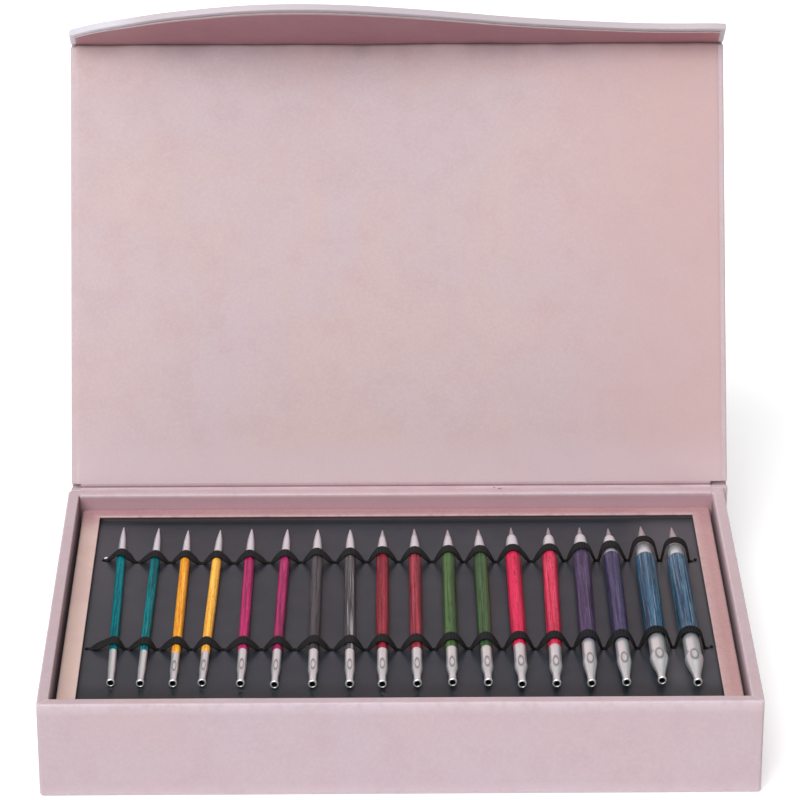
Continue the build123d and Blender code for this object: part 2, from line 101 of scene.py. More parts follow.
# ---------------------------------------------------------------------------
# Camera, at the photograph's viewing angle
# ---------------------------------------------------------------------------
elevation, yaw, roll = radians(24.89), radians(-0.36), radians(-0.13)
back = Vector((sin(yaw) * cos(elevation), -cos(yaw) * cos(elevation), sin(elevation)))
level = Vector((cos(yaw), sin(yaw), 0))
above = level.cross(-back)
cam_x = level * cos(roll) + above * sin(roll)
cam_y = -level * sin(roll) + above * cos(roll)
camera = bpy.data.objects.new("camera", bpy.data.cameras.new("camera"))
scene.collection.objects.link(camera)
turned = Matrix((cam_x, cam_y, back)).transposed()
camera.matrix_world = Matrix.Translation((-0.012365, -1.31677, 0.73236)) @ turned.to_4x4()
camera.data.sensor_width = 36.0
camera.data.lens = 170.955
camera.data.shift_x = 0.015875
camera.data.shift_y = -0.000875
camera.data.clip_start, camera.data.clip_end = 0.05, 50.0
camera.data.dof.use_dof = False
scene.camera = camera


# ---------------------------------------------------------------------------
# Small geometry helpers
# ---------------------------------------------------------------------------
def smooth(t):
    t = max(0.0, min(1.0, t))
    return t * t * (3 - 2 * t)


def lerp(a, b, t):
    return a + (b - a) * t


def spread(a, b, n):
    return [a + (b - a) * i / n for i in range(n + 1)]


def wave(x, seed, size=40.0):
    """A smooth wander between about -1 and 1 along x, in millimetres."""
    return (noise.noise(Vector((x / size, seed * 7.31, 0.37)))
            + 0.5 * noise.noise(Vector((x / size * 2.7, seed * 3.7, 5.1)))) * 1.3


def spline(points):
    """A natural cubic through (x, y) points; returns a function."""
    n = len(points)
    xs, ys = [p[0] for p in points], [p[1] for p in points]
    h = [xs[i + 1] - xs[i] for i in range(n - 1)]
    a, b, c, d = [0.0] * n, [1.0] * n, [0.0] * n, [0.0] * n
    for i in range(1, n - 1):
        a[i], b[i], c[i] = h[i - 1], 2 * (h[i - 1] + h[i]), h[i]
        d[i] = 6 * ((ys[i + 1] - ys[i]) / h[i] - (ys[i] - ys[i - 1]) / h[i - 1])
    for i in range(1, n):
        m = a[i] / b[i - 1]
        b[i] -= m * c[i - 1]
        d[i] -= m * d[i - 1]
    s = [0.0] * n
    s[-1] = d[-1] / b[-1]
    for i in range(n - 2, -1, -1):
        s[i] = (d[i] - c[i] * s[i + 1]) / b[i]

    def at(x):
        x = max(xs[0], min(xs[-1], x))
        i = max(k for k in range(n - 1) if xs[k] <= x)
        t0, t1 = xs[i + 1] - x, x - xs[i]
        return (s[i] * t0 ** 3 + s[i + 1] * t1 ** 3) / (6 * h[i]) \
            + (ys[i] / h[i] - s[i] * h[i] / 6) * t0 + (ys[i + 1] / h[i] - s[i + 1] * h[i] / 6) * t1
    return at


def flowing(points, step):
    """A monotone smooth curve through (t, r) points, sampled about every step."""
    n = len(points)
    xs, ys = [p[0] for p in points], [p[1] for p in points]
    m = [(ys[i + 1] - ys[i]) / (xs[i + 1] - xs[i]) for i in range(n - 1)]
    g = [m[0]] + [0.0 if m[i - 1] * m[i] <= 0 else 2 * m[i - 1] * m[i] / (m[i - 1] + m[i]) for i in range(1, n - 1)] + [m[-1]]
    out = []
    for i in range(n - 1):
        h = xs[i + 1] - xs[i]
        k = max(2, int(round(abs(h) / step)))
        for j in range(k):
            t = j / k
            out.append((xs[i] + h * t,
                        ys[i] * (1 + 2 * t) * (1 - t) ** 2 + h * g[i] * t * (1 - t) ** 2
                        + ys[i + 1] * t * t * (3 - 2 * t) + h * g[i + 1] * t * t * (t - 1)))
    out.append((xs[-1], ys[-1]))
    return out


def rounded(points, radii, steps=5):
    """A closed outline whose corners are rounded."""
    out = []
    n = len(points)
    for i, (p, r) in enumerate(zip(points, radii)):
        a, b, c = Vector(points[i - 1]), Vector(p), Vector(points[(i + 1) % n])
        if r <= 0:
            out.append((b.x, b.y))
            continue
        la, lc = (a - b).length, (c - b).length
        u, v = (a - b) / la, (c - b) / lc
        half = acos(max(-1.0, min(1.0, u.dot(v)))) / 2
        d = min(r / tan(half), 0.48 * la, 0.48 * lc)
        rr = d * tan(half)
        centre = b + (u + v).normalized() * (rr / sin(half))
        p0, p1 = b + u * d - centre, b + v * d - centre
        a0, a1 = atan2(p0.y, p0.x), atan2(p1.y, p1.x)
        while a1 - a0 > pi:
            a1 -= 2 * pi
        while a1 - a0 < -pi:
            a1 += 2 * pi
        for k in range(steps + 1):
            t = a0 + (a1 - a0) * k / steps
            out.append((centre.x + rr * cos(t), centre.y + rr * sin(t)))
    return out


def mesh(name, verts, faces, material, attributes=None, flip_inner=None):
    """A mesh object from millimetre points; its normals point outwards."""
    me = bpy.data.meshes.new(name)
    me.from_pydata([(x * 0.001, y * 0.001, z * 0.001) for x, y, z in verts], [], faces)
    bm = bmesh.new()
    bm.from_mesh(me)
    bmesh.ops.recalc_face_normals(bm, faces=bm.faces)
    if flip_inner:
        first = flip_inner
        bm.verts.ensure_lookup_table()
        inner = [f for f in bm.faces if all(v.index >= first for v in f.verts)]
        bmesh.ops.reverse_faces(bm, faces=inner)
    for f in bm.faces:
        f.smooth = True
    bm.to_mesh(me)
    bm.free()
    for key, values in (attributes or {}).items():
        layer = me.attributes.new(key, "FLOAT", "POINT")
        layer.data.foreach_set("value", values)
    me.materials.append(material)
    ob = bpy.data.objects.new(name, me)
    scene.collection.objects.link(ob)
    return ob


def even(ob):
    """Keeps large flat faces flat-shaded beside their rounded rims."""
    m = ob.modifiers.new("weighted", "WEIGHTED_NORMAL")
    m.mode = "FACE_AREA"
    m.weight = 80
    m.keep_sharp = False
    return ob


def ring(hx, hy, outline, radius, nx, ny, nc=6, warp=None):
    """Sweeps a closed (w, z) outline round a rectangle; w is measured outwards from hx, hy."""
    stations = []
    for side in range(4):
        n = ny if side % 2 == 0 else nx
        for k in range(n + 1):
            stations.append((0, side, -1 + 2 * k / n))
        for k in range(1, nc):
            stations.append((1, side, k / nc * pi / 2))
    verts = []
    for kind, side, t in stations:
        for w, z in outline:
            r = radius(w)
            ax, ay = hx + w - r, hy + w - r
            if kind == 0:
                x, y = [(ax + r, t * ay), (-t * ax, ay + r), (-ax - r, -t * ay), (t * ax, -ay - r)][side]
            else:
                a = side * pi / 2 + t
                cx, cy = [(ax, ay), (-ax, ay), (-ax, -ay), (ax, -ay)][side]
                x, y = cx + r * cos(a), cy + r * sin(a)
            p = (x, y, z)
            verts.append(warp(p, w) if warp else p)
    m, n = len(outline), len(stations)
    faces = []
    for i in range(n):
        for j in range(m):
            faces.append((i * m + j, ((i + 1) % n) * m + j, ((i + 1) % n) * m + (j + 1) % m, i * m + (j + 1) % m))
    return verts, faces, n


def rim_list(a, b, r, n, k=4):
    """Coordinates from a to b with close rows beside both ends, for a rounded slab."""
    near = [r * (1 - tan(pi / 4 * (k - i) / k)) for i in range(k)]
    return [a + t for t in near] + spread(a + r, b - r, n) + [b - t for t in reversed(near)]


def slab(U, V, W, r, place):
    """A closed block on a lattice, its edges rounded by r, each point then put in place."""
    lists = (U, V, W)
    top = [len(c) - 1 for c in lists]
    index, verts, faces = {}, [], []

    def vid(i, j, k):
        key = (i, j, k)
        if key not in index:
            p = [U[i], V[j], W[k]]
            c = [max(lists[n][0] + r, min(lists[n][-1] - r, p[n])) for n in range(3)]
            d = [p[n] - c[n] for n in range(3)]
            length = sqrt(sum(q * q for q in d))
            if length > 1e-9:
                p = [c[n] + d[n] * r / length for n in range(3)]
            index[key] = len(verts)
            verts.append(place(*p))
        return index[key]

    for k in (0, top[2]):
        for i in range(top[0]):
            for j in range(top[1]):
                faces.append((vid(i, j, k), vid(i + 1, j, k), vid(i + 1, j + 1, k), vid(i, j + 1, k)))
    for j in (0, top[1]):
        for i in range(top[0]):
            for k in range(top[2]):
                faces.append((vid(i, j, k), vid(i + 1, j, k), vid(i + 1, j, k + 1), vid(i, j, k + 1)))
    for i in (0, top[0]):
        for j in range(top[1]):
            for k in range(top[2]):
                faces.append((vid(i, j, k), vid(i, j + 1, k), vid(i, j + 1, k + 1), vid(i, j, k + 1)))
    return verts, faces


def joined(*parts):
    """Several (verts, faces) as one."""
    verts, faces = [], []
    for v, f in parts:
        n = len(verts)
        verts += v
        faces += [tuple(i + n for i in q) for q in f]
    return verts, faces


def sheet_strip(xs, path, thick):
    """A thin closed strip: for each x a line of (y, z) points; thick may be a function of (x, i, count)."""
    rows = [path(x) for x in xs]
    m = len(rows[0])
    verts = []
    for x, row in zip(xs, rows):
        up, down = [], []
        for i, (y, z) in enumerate(row):
            a, b = row[max(0, i - 1)], row[min(m - 1, i + 1)]
            ty, tz = b[0] - a[0], b[1] - a[1]
            n = hypot(ty, tz) or 1.0
            ny, nz = -tz / n, ty / n
            h = (thick(x, i, m) if callable(thick) else thick) / 2
            up.append((x, y + ny * h, z + nz * h))
            down.append((x, y - ny * h, z - nz * h))
        verts += up + down[::-1]
    k = 2 * m
    faces = []
    for c in range(len(xs) - 1):
        for i in range(k):
            j = (i + 1) % k
            faces.append((c * k + i, (c + 1) * k + i, (c + 1) * k + j, c * k + j))
    for c in (0, len(xs) - 1):
        for i in range(m - 1):
            faces.append((c * k + i, c * k + i + 1, c * k + k - 2 - i, c * k + k - 1 - i))
    return verts, faces


def revolve(outline, origin, along, seg=48):
    """Turns an outline of (t, r) points about the line from origin along a direction."""
    o, d = Vector(origin), Vector(along).normalized()
    e2 = Vector((0, 0, 1))
    e1 = d.cross(e2).normalized()
    e2 = e1.cross(d)
    verts, rings = [], []
    for t, r in outline:
        if r < 1e-7:
            rings.append([len(verts)])
            verts.append(tuple(o + d * t))
        else:
            ids = []
            for s in range(seg):
                a = 2 * pi * s / seg
                ids.append(len(verts))
                verts.append(tuple(o + d * t + e1 * (r * cos(a)) + e2 * (r * sin(a))))
            rings.append(ids)
    faces = []
    pairs = list(zip(rings, rings[1:]))
    if len(rings[0]) > 1:
        pairs.append((rings[-1], rings[0]))
    for a, b in pairs:
        if len(a) == 1 and len(b) == 1:
            continue
        for s in range(seg):
            q = (s + 1) % seg
            if len(a) == 1:
                faces.append((a[0], b[s], b[q]))
            elif len(b) == 1:
                faces.append((a[s], b[0], a[q]))
            else:
                faces.append((a[s], b[s], b[q], a[q]))
    return verts, faces


def lid_pt(x, s, w):
    """A point of the lid at rest: s up from the hinge line, w towards the case."""
    return (x, PY + s * sin(LEAN) - w * cos(LEAN), PZ + s * cos(LEAN) + w * sin(LEAN))


_, FY, FZ = lid_pt(0, FLAP_AT, FLAP_W)
TURN = radians(90 - 27.11 + 180 - 105)


def flap_pt(x, v, w):
    """A point of the flap at rest: v out from its hinge line, w towards the case."""
    return (x, FY + v * cos(TURN) - w * sin(TURN), FZ + v * sin(TURN) + w * cos(TURN))


flap_edge = spline(FLAP_EDGE)


# ---------------------------------------------------------------------------
# Materials
# ---------------------------------------------------------------------------
class Shade:
    """A small wrapper to lay out a material's nodes."""

    def __init__(self, name):
        self.m = bpy.data.materials.new(name)
        self.m.use_nodes = True
        self.t = self.m.node_tree
        self.t.nodes.clear()
        self.out = self.t.nodes.new("ShaderNodeOutputMaterial")
        self.b = self.t.nodes.new("ShaderNodeBsdfPrincipled")
        self.t.links.new(self.b.outputs[0], self.out.inputs[0])
        self.coord = self.t.nodes.new("ShaderNodeTexCoord").outputs["Object"]

    def link(self, a, b):
        self.t.links.new(a, b)

    def set(self, **values):
        for k, v in values.items():
            self.b.inputs[k.replace("_", " ")].default_value = v

    def stretched(self, scale, offset=(0, 0, 0), rotation=(0, 0, 0)):
        n = self.t.nodes.new("ShaderNodeMapping")
        n.inputs["Scale"].default_value = scale
        n.inputs["Location"].default_value = offset
        n.inputs["Rotation"].default_value = rotation
        self.link(self.coord, n.inputs["Vector"])
        return n.outputs[0]

    def noise(self, scale, detail=2.0, rough=0.5, vector=None, distortion=0.0):
        n = self.t.nodes.new("ShaderNodeTexNoise")
        n.inputs["Scale"].default_value = scale
        n.inputs["Detail"].default_value = detail
        n.inputs["Roughness"].default_value = rough
        n.inputs["Distortion"].default_value = distortion
        self.link(vector or self.coord, n.inputs["Vector"])
        return n.outputs[0]

    def cells(self, scale, vector=None, feature="F1"):
        n = self.t.nodes.new("ShaderNodeTexVoronoi")
        n.feature = feature
        n.inputs["Scale"].default_value = scale
        self.link(vector or self.coord, n.inputs["Vector"])
        return n.outputs["Distance"]

    def fit(self, value, a, b, c=0.0, d=1.0):
        n = self.t.nodes.new("ShaderNodeMapRange")
        n.interpolation_type = "SMOOTHSTEP"
        for k, v in zip(("From Min", "From Max", "To Min", "To Max"), (a, b, c, d)):
            n.inputs[k].default_value = v
        self.link(value, n.inputs["Value"])
        return n.outputs["Result"]

    def math(self, kind, a, b=None, c=None):
        n = self.t.nodes.new("ShaderNodeMath")
        n.operation = kind
        for k, v in enumerate((a, b, c)):
            if v is None:
                continue
            if isinstance(v, (int, float)):
                n.inputs[k].default_value = v
            else:
                self.link(v, n.inputs[k])
        return n.outputs[0]

    def mix(self, fac, a, b, blend="MIX"):
        n = self.t.nodes.new("ShaderNodeMix")
        n.data_type = "RGBA"
        n.blend_type = blend
        for k, v in ((0, fac), (6, a), (7, b)):
            if isinstance(v, (int, float)):
                n.inputs[k].default_value = v
            elif isinstance(v, tuple):
                n.inputs[k].default_value = (*v, 1.0)
            else:
                self.link(v, n.inputs[k])
        return n.outputs[2]

    def attribute(self, name):
        n = self.t.nodes.new("ShaderNodeAttribute")
        n.attribute_name = name
        return n.outputs["Fac"]

    def xyz(self, vector=None):
        n = self.t.nodes.new("ShaderNodeSeparateXYZ")
        self.link(vector or self.coord, n.inputs[0])
        return n.outputs

    def bump(self, height, strength, distance, under=None):
        n = self.t.nodes.new("ShaderNodeBump")
        n.inputs["Strength"].default_value = strength
        n.inputs["Distance"].default_value = distance
        self.link(height, n.inputs["Height"])
        if under:
            self.link(under, n.inputs["Normal"])
        return n.outputs[0]

    def colour(self, socket):
        self.link(socket, self.b.inputs["Base Color"])

    def rough(self, socket):
        self.link(socket, self.b.inputs["Roughness"])

    def normal(self, socket):
        self.link(socket, self.b.inputs["Normal"])


def linear(r, g, b):
    """sRGB bytes to linear light."""
    out = []
    for v in (r, g, b):
        v /= 255.0
        out.append(v / 12.92 if v <= 0.04045 else ((v + 0.055) / 1.055) ** 2.4)
    return tuple(out)


def pearl_paper(name, cool, warm, deep, light, rough=(0.36, 0.5), spots=(), mitres_and_shade=False, fold=False, groove=False, margin=False):
    """Smooth pearly covering paper: cloudy between two tones, with faint fibres and light rims that are partly worn
    paper and partly painted highlight.
    """
    s = Shade(name)
    cloud = s.fit(s.noise(17.0, 4.0, 0.55, distortion=0.6), 0.36, 0.66)
    patch = s.fit(s.noise(75.0, 3.0, 0.6), 0.42, 0.72)
    fleck = s.noise(900.0, 2.0, 0.6)
    col = s.mix(cloud, cool, warm)
    col = s.mix(s.math("MULTIPLY", patch, 0.40), col, deep)
    col = s.mix(s.math("MULTIPLY", s.fit(fleck, 0.35, 0.75), 0.16), col, light)
    # lighter rims: partly worn paper, partly painted highlight
    wear_and_highlight = s.math("MULTIPLY", s.attribute("wear_and_highlight"), s.fit(s.noise(260.0, 3.0, 0.6), 0.28, 0.58, 0.35, 1.0))
    col = s.mix(s.math("MULTIPLY", wear_and_highlight, 0.75), col, light)
    x, y, z = s.xyz()
    if groove:
        # painted shade: the strip is darker and deeper pink down the inner back wall below the crest, and a painted
        # dark line lies in the groove at the lid's foot
        col = s.mix(s.fit(z, 0.0370, 0.0386, 0.70, 0.0), col, linear(180, 141, 151))
        col = s.mix(s.attribute("crease"), col, linear(104, 58, 66))
    if margin:
        # the free edge and the turned-in margin are cooler; a painted highlight makes them palest at the left end
        rim = s.attribute("rim")
        col = s.mix(s.math("MULTIPLY", rim, 0.90), col, linear(177, 168, 174))
        col = s.mix(s.math("MULTIPLY", rim, s.fit(x, -0.122, -0.095, 0.90, 0.0)), col, linear(201, 197, 206))
    if fold:
        # the lining is redder towards the right; painted light makes it lighter low down on the lid; painted shade
        # makes the flap's underside and the lid just below the fold deeper, and a painted shadow darkens the fold
        # itself
        col = s.mix(s.fit(x, 0.030, 0.135, 0.0, 0.60), col, linear(184, 150, 148))
        col = s.mix(s.fit(z, 0.046, 0.062, 0.50, 0.0), col, linear(192, 171, 177))
        col = s.mix(s.attribute("shade"), col, linear(129, 36, 63))
        col = s.mix(s.attribute("crease"), col, linear(66, 18, 26))
    if mitres_and_shade:
        # painted shade: the inner faces of the side walls darken down into the gap beside the lift-out frame
        low = s.math("SUBTRACT", z, s.fit(x, -0.01, 0.01, 0.0042, 0.0))
        inside = s.math("MULTIPLY", s.fit(s.math("ABSOLUTE", x), (IX + 0.1) * 0.001, (IX + 0.5) * 0.001, 1.0, 0.0), s.fit(low, 0.0325, 0.0382, 1.0, 0.0))
        inside = s.math("MULTIPLY", inside, s.fit(s.math("ABSOLUTE", y), (IY + 0.1) * 0.001, (IY + 0.4) * 0.001, 1.0, 0.0))
        inside = s.math("MULTIPLY", inside, s.fit(s.math("ABSOLUTE", x), (IX - 1.2) * 0.001, (IX - 0.6) * 0.001))
        col = s.mix(s.math("MULTIPLY", inside, 0.75), col, linear(96, 44, 50))
        col = s.mix(s.fit(y, -0.0892, -0.0888, 0.30, 0.0), col, linear(160, 142, 154))
        ax = s.math("SUBTRACT", s.math("ABSOLUTE", x), IX * 0.001)
        ay = s.math("SUBTRACT", s.math("ABSOLUTE", y), IY * 0.001)
        gap = s.math("ABSOLUTE", s.math("SUBTRACT", ax, ay))
        line = s.math("MULTIPLY", s.fit(gap, 0.00010, 0.00034, 1.0, 0.0), s.fit(z, 0.0375, 0.0388))
        line = s.math("MULTIPLY", line, s.fit(ax, -0.0006, 0.0004))
        line = s.math("MULTIPLY", line, s.fit(y, -0.02, 0.02, 1.0, 0.15))
        col = s.mix(s.math("MULTIPLY", line, 0.75), col, light)
    for (px, py, pz, size, tint, strength) in spots:
        d = s.t.nodes.new("ShaderNodeVectorMath")
        d.operation = "DISTANCE"
        s.link(s.coord, d.inputs[0])
        d.inputs[1].default_value = (px, py, pz)
        reach = s.math("ADD", d.outputs["Value"], s.math("MULTIPLY", s.noise(2400.0, 2.0), size * 0.9))
        col = s.mix(s.math("MULTIPLY", s.fit(reach, size * 0.8, size * 1.35, 1.0, 0.0), strength), col, tint)
    s.colour(col)
    s.rough(s.fit(s.noise(48.0, 3.0, 0.6), 0.3, 0.7, rough[0], rough[1]))
    ripple = s.bump(s.noise(140.0, 2.0, 0.5), 0.16, 0.00035)
    s.normal(s.bump(s.noise(2100.0, 3.0, 0.65), 0.14, 0.00006, ripple))
    s.set(Specular_IOR_Level=0.5, Sheen_Weight=0.12, Sheen_Roughness=0.4, Sheen_Tint=(0.93, 0.86, 0.95, 1.0))
    return s.m


COOL, WARM = linear(183, 164, 170), linear(186, 163, 166)
DEEP, PALE = linear(177, 149, 156), linear(212, 196, 203)
cover_paper = pearl_paper("pink_cover_paper", COOL, WARM, DEEP, PALE)
flap_paper = pearl_paper("pink_flap_paper", COOL, WARM, DEEP, PALE, margin=True)
tray_paper = pearl_paper("pink_tray_paper", COOL, WARM, DEEP, PALE, mitres_and_shade=True)
lining_paper = pearl_paper("pink_lining_paper", linear(181, 161, 166), linear(185, 160, 160),
                           linear(177, 149, 152), linear(208, 192, 195), fold=True,
                           spots=[(-0.0120, *lid_pt(0, 179.6, 0.36)[1:], 0.0006, linear(130, 92, 92), 0.8)])
strip_paper = pearl_paper("pink_hinge_paper", linear(185, 160, 167), linear(189, 161, 166),
                          linear(175, 144, 151), linear(206, 194, 201), rough=(0.34, 0.48), groove=True,
                          spots=[(0.0428, 0.0892, 0.0391, 0.0012, linear(132, 92, 70), 0.85),
                                 (0.0405, 0.0902, 0.0391, 0.0007, linear(120, 84, 70), 0.7)])


def card_frame():
    """Thicker pearly card of the lift-out frame, peach on the left; painted shade makes it darker and pinker towards
    the right, and it is darker still at the back.
    """
    s = Shade("pink_frame_card")
    x, y, z = s.xyz()
    across = s.fit(x, -0.13, 0.05)
    behind = s.fit(y, 0.060, 0.080)
    left, right, rear = linear(198, 171, 160), linear(172, 132, 131), linear(160, 117, 121)
    # painted shade: darker and pinker towards the right; darker at the back
    col = s.mix(across, left, right)
    col = s.mix(behind, col, rear)
    cloud = s.fit(s.noise(30.0, 4.0, 0.6, distortion=0.4), 0.35, 0.68)
    col = s.mix(s.math("MULTIPLY", cloud, 0.35), col, linear(178, 138, 140))
    col = s.mix(s.math("MULTIPLY", s.fit(s.noise(800.0, 2.0, 0.6), 0.4, 0.8), 0.12), col, linear(224, 200, 196))
    # lighter edges: partly worn card, partly painted highlight on the rounded window edge
    wear_and_highlight = s.math("MULTIPLY", s.attribute("wear_and_highlight"), s.fit(s.noise(240.0, 3.0), 0.3, 0.6, 0.4, 1.0))
    col = s.mix(s.math("MULTIPLY", wear_and_highlight, 0.6), col, linear(212, 188, 188))
    # painted shade: the folded-down skirt is darkened where it sits deep in the gap beside the tray
    col = s.mix(s.fit(z, 0.0300, 0.0322, 0.60, 0.0), col, linear(120, 62, 68))
    s.colour(col)
    s.rough(s.fit(s.noise(60.0, 3.0), 0.3, 0.7, 0.34, 0.48))
    ripple = s.bump(s.noise(110.0, 2.0), 0.14, 0.0004)
    s.normal(s.bump(s.noise(2000.0, 3.0, 0.65), 0.14, 0.00006, ripple))
    s.set(Specular_IOR_Level=0.5, Sheen_Weight=0.1, Sheen_Roughness=0.4)
    return s.m


def greyboard():
    """Raw greyboard with pressed fibres and layered edges."""
    s = Shade("greyboard")
    fibre = s.noise(700.0, 4.0, 0.7, s.stretched((1.0, 0.35, 2.6)))
    col = s.mix(s.fit(fibre, 0.35, 0.7), linear(150, 143, 136), linear(176, 170, 160))
    col = s.mix(s.math("MULTIPLY", s.fit(s.cells(900.0), 0.02, 0.16, 1.0, 0.0), 0.5), col, linear(96, 92, 96))
    s.colour(col)
    s.set(Roughness=0.93, Specular_IOR_Level=0.25)
    s.normal(s.bump(fibre, 0.4, 0.0002))
    return s.m


def black_card(name, base, rough, gleam, ends=False):
    """Smooth black board with a soft gloss and a little dust."""
    s = Shade(name)
    cloud = s.fit(s.noise(26.0, 4.0, 0.6), 0.3, 0.7)
    col = s.mix(cloud, base, tuple(v * 1.35 for v in base))
    x, y, z = s.xyz()
    if ends:
        # painted light and shade: lighter ends where the panel shows the lid's reflection, darker towards the front
        # where shade falls before the sockets, and painted light under the frame's back edge where the panel lies in
        # shade
        col = s.mix(s.fit(x, -0.119, -0.095, 1.0, 0.0), col, (0.030, 0.032, 0.040))
        col = s.mix(s.fit(x, 0.090, 0.108, 0.0, 1.0), col, (0.0480, 0.0490, 0.0570))
        col = s.mix(s.fit(y, -0.067, -0.055, 0.60, 0.0), col, (0.0020, 0.0020, 0.0030))
        col = s.mix(s.fit(y, 0.0765, 0.0785, 0.0, 1.0), col, (0.045, 0.034, 0.036))
    dust = s.fit(s.cells(150.0), 0.012, 0.030, 1.0, 0.0)
    dust = s.math("MULTIPLY", dust, s.fit(s.noise(90.0, 1.0), 0.60, 0.66))
    col = s.mix(s.math("MULTIPLY", dust, 0.55), col, linear(150, 146, 148))
    s.colour(col)
    s.rough(s.fit(s.noise(75.0, 4.0, 0.6), 0.3, 0.7, rough[0], rough[1]))
    grain = s.bump(s.noise(1500.0, 3.0, 0.6), 0.06, 0.00005)
    s.normal(s.bump(s.noise(60.0, 2.0), 0.10, 0.0004, grain))
    s.set(Specular_IOR_Level=0.58, Specular_Tint=(*gleam, 1.0))
    return s.m


def elastic_braid():
    """Black braided elastic: crossing yarns, dull, with a few lighter hairs."""
    s = Shade("black_elastic")
    yarn = s.attribute("yarn")
    hair = s.noise(2600.0, 3.0, 0.7)
    col = s.mix(s.fit(yarn, 0.15, 0.95), (0.0012, 0.0012, 0.0014), (0.016, 0.0155, 0.016))
    col = s.mix(s.math("MULTIPLY", s.fit(hair, 0.58, 0.8), 0.30), col, (0.060, 0.054, 0.048))
    s.colour(col)
    s.set(Roughness=0.7, Specular_IOR_Level=0.16)
    s.normal(s.bump(hair, 0.35, 0.0001))
    return s.m


def steel(name, tone, rough, lathe=0.10, bore=False, cone=False):
    """Plated metal with fine turning marks and slight handling haze."""
    s = Shade(name)
    marks = s.noise(1.0, 2.0, 0.5, s.stretched((40.0, 3400.0, 40.0)))
    haze = s.noise(420.0, 4.0, 0.65)
    col = s.mix(s.fit(haze, 0.35, 0.7), tone, tuple(v * 0.96 for v in tone))
    if bore:
        # painted shade: dark inside the threaded bore and round the dimple's rim
        col = s.mix(s.attribute("bore"), col, (0.045, 0.040, 0.040))
    if cone:
        # painted reflection of the pink lid: the cone is darker and rosier than the polished collar behind it
        col = s.mix(s.attribute("cone"), col, tuple(v * w for v, w in zip(tone, (0.50, 0.42, 0.44))))
    s.colour(col)
    s.rough(s.fit(haze, 0.3, 0.72, rough[0], rough[1]))
    s.normal(s.bump(marks, lathe, 0.000012))
    s.set(Metallic=0.78, Specular_IOR_Level=0.5)
    return s.m


def dyed_wood(name, dark, main, light, seed, streak=0.5, painted_sheen=0.0, gloss=0.25):
    """Dyed laminated birch under clear lacquer: long fine grain, with lighter and darker layers."""
    s = Shade(name)
    place = (seed * 0.313, seed * 0.171, seed * 0.077)
    fine = s.noise(1.0, 5.0, 0.68, s.stretched((2600.0, 55.0, 2600.0), place))
    layer = s.noise(1.0, 3.0, 0.55, s.stretched((900.0, 12.0, 900.0), place), 0.4)
    pores = s.noise(1.0, 2.0, 0.5, s.stretched((3600.0, 260.0, 3600.0), place))
    cloud = s.noise(45.0, 3.0, 0.5)
    col = s.mix(s.fit(layer, 0.38, 0.62), dark, main)
    col = s.mix(s.math("MULTIPLY", s.fit(fine, 0.50, 0.66), streak), col, light)
    col = s.mix(s.math("MULTIPLY", s.fit(pores, 0.56, 0.68), 0.7), col, tuple(v * 0.30 for v in dark))
    col = s.mix(s.math("MULTIPLY", s.fit(cloud, 0.4, 0.75), 0.25), col, dark)
    # painted sheen: silvery streaks along the grain
    if painted_sheen:
        gleam = s.fit(s.noise(1.0, 4.0, 0.6, s.stretched((1500.0, 16.0, 1500.0), (place[0] + 3.0, 0.0, 1.0))), 0.54, 0.62)
        col = s.mix(s.math("MULTIPLY", gleam, painted_sheen), col, tuple(0.5 * v + 0.5 * w for v, w in zip(light, linear(196, 196, 200))))
    s.colour(col)
    s.rough(s.fit(fine, 0.3, 0.7, 0.34, 0.50))
    s.normal(s.bump(fine, 0.22, 0.00008))
    s.set(Specular_IOR_Level=gloss, Coat_Weight=0.04, Coat_Roughness=0.2)
    return s.m


frame_card = card_frame()
board = greyboard()
panel_card = black_card("black_panel_card", (0.0118, 0.0160, 0.0223), (0.33, 0.41), (0.88, 0.96, 1.0), ends=True)
# painted light: the black spacer card is given a dark warm grey so that its face in the shade of the frame's edge
# looks lit
spacer_card = black_card("black_spacer_card", (0.085, 0.060, 0.068), (0.6, 0.7), (1.0, 1.0, 1.0))
braid = elastic_braid()
point_metal = steel("point_metal", (0.86, 0.89, 0.92), (0.32, 0.40), 0.04, cone=True)
socket_metal = steel("socket_metal", (0.87, 0.88, 0.89), (0.30, 0.36), 0.02, bore=True)
magnet_metal = steel("magnet_metal", (0.62, 0.61, 0.60), (0.28, 0.42), 0.12)
crimp_metal = steel("crimp_metal", (0.85, 0.85, 0.86), (0.25, 0.4), 0.1)

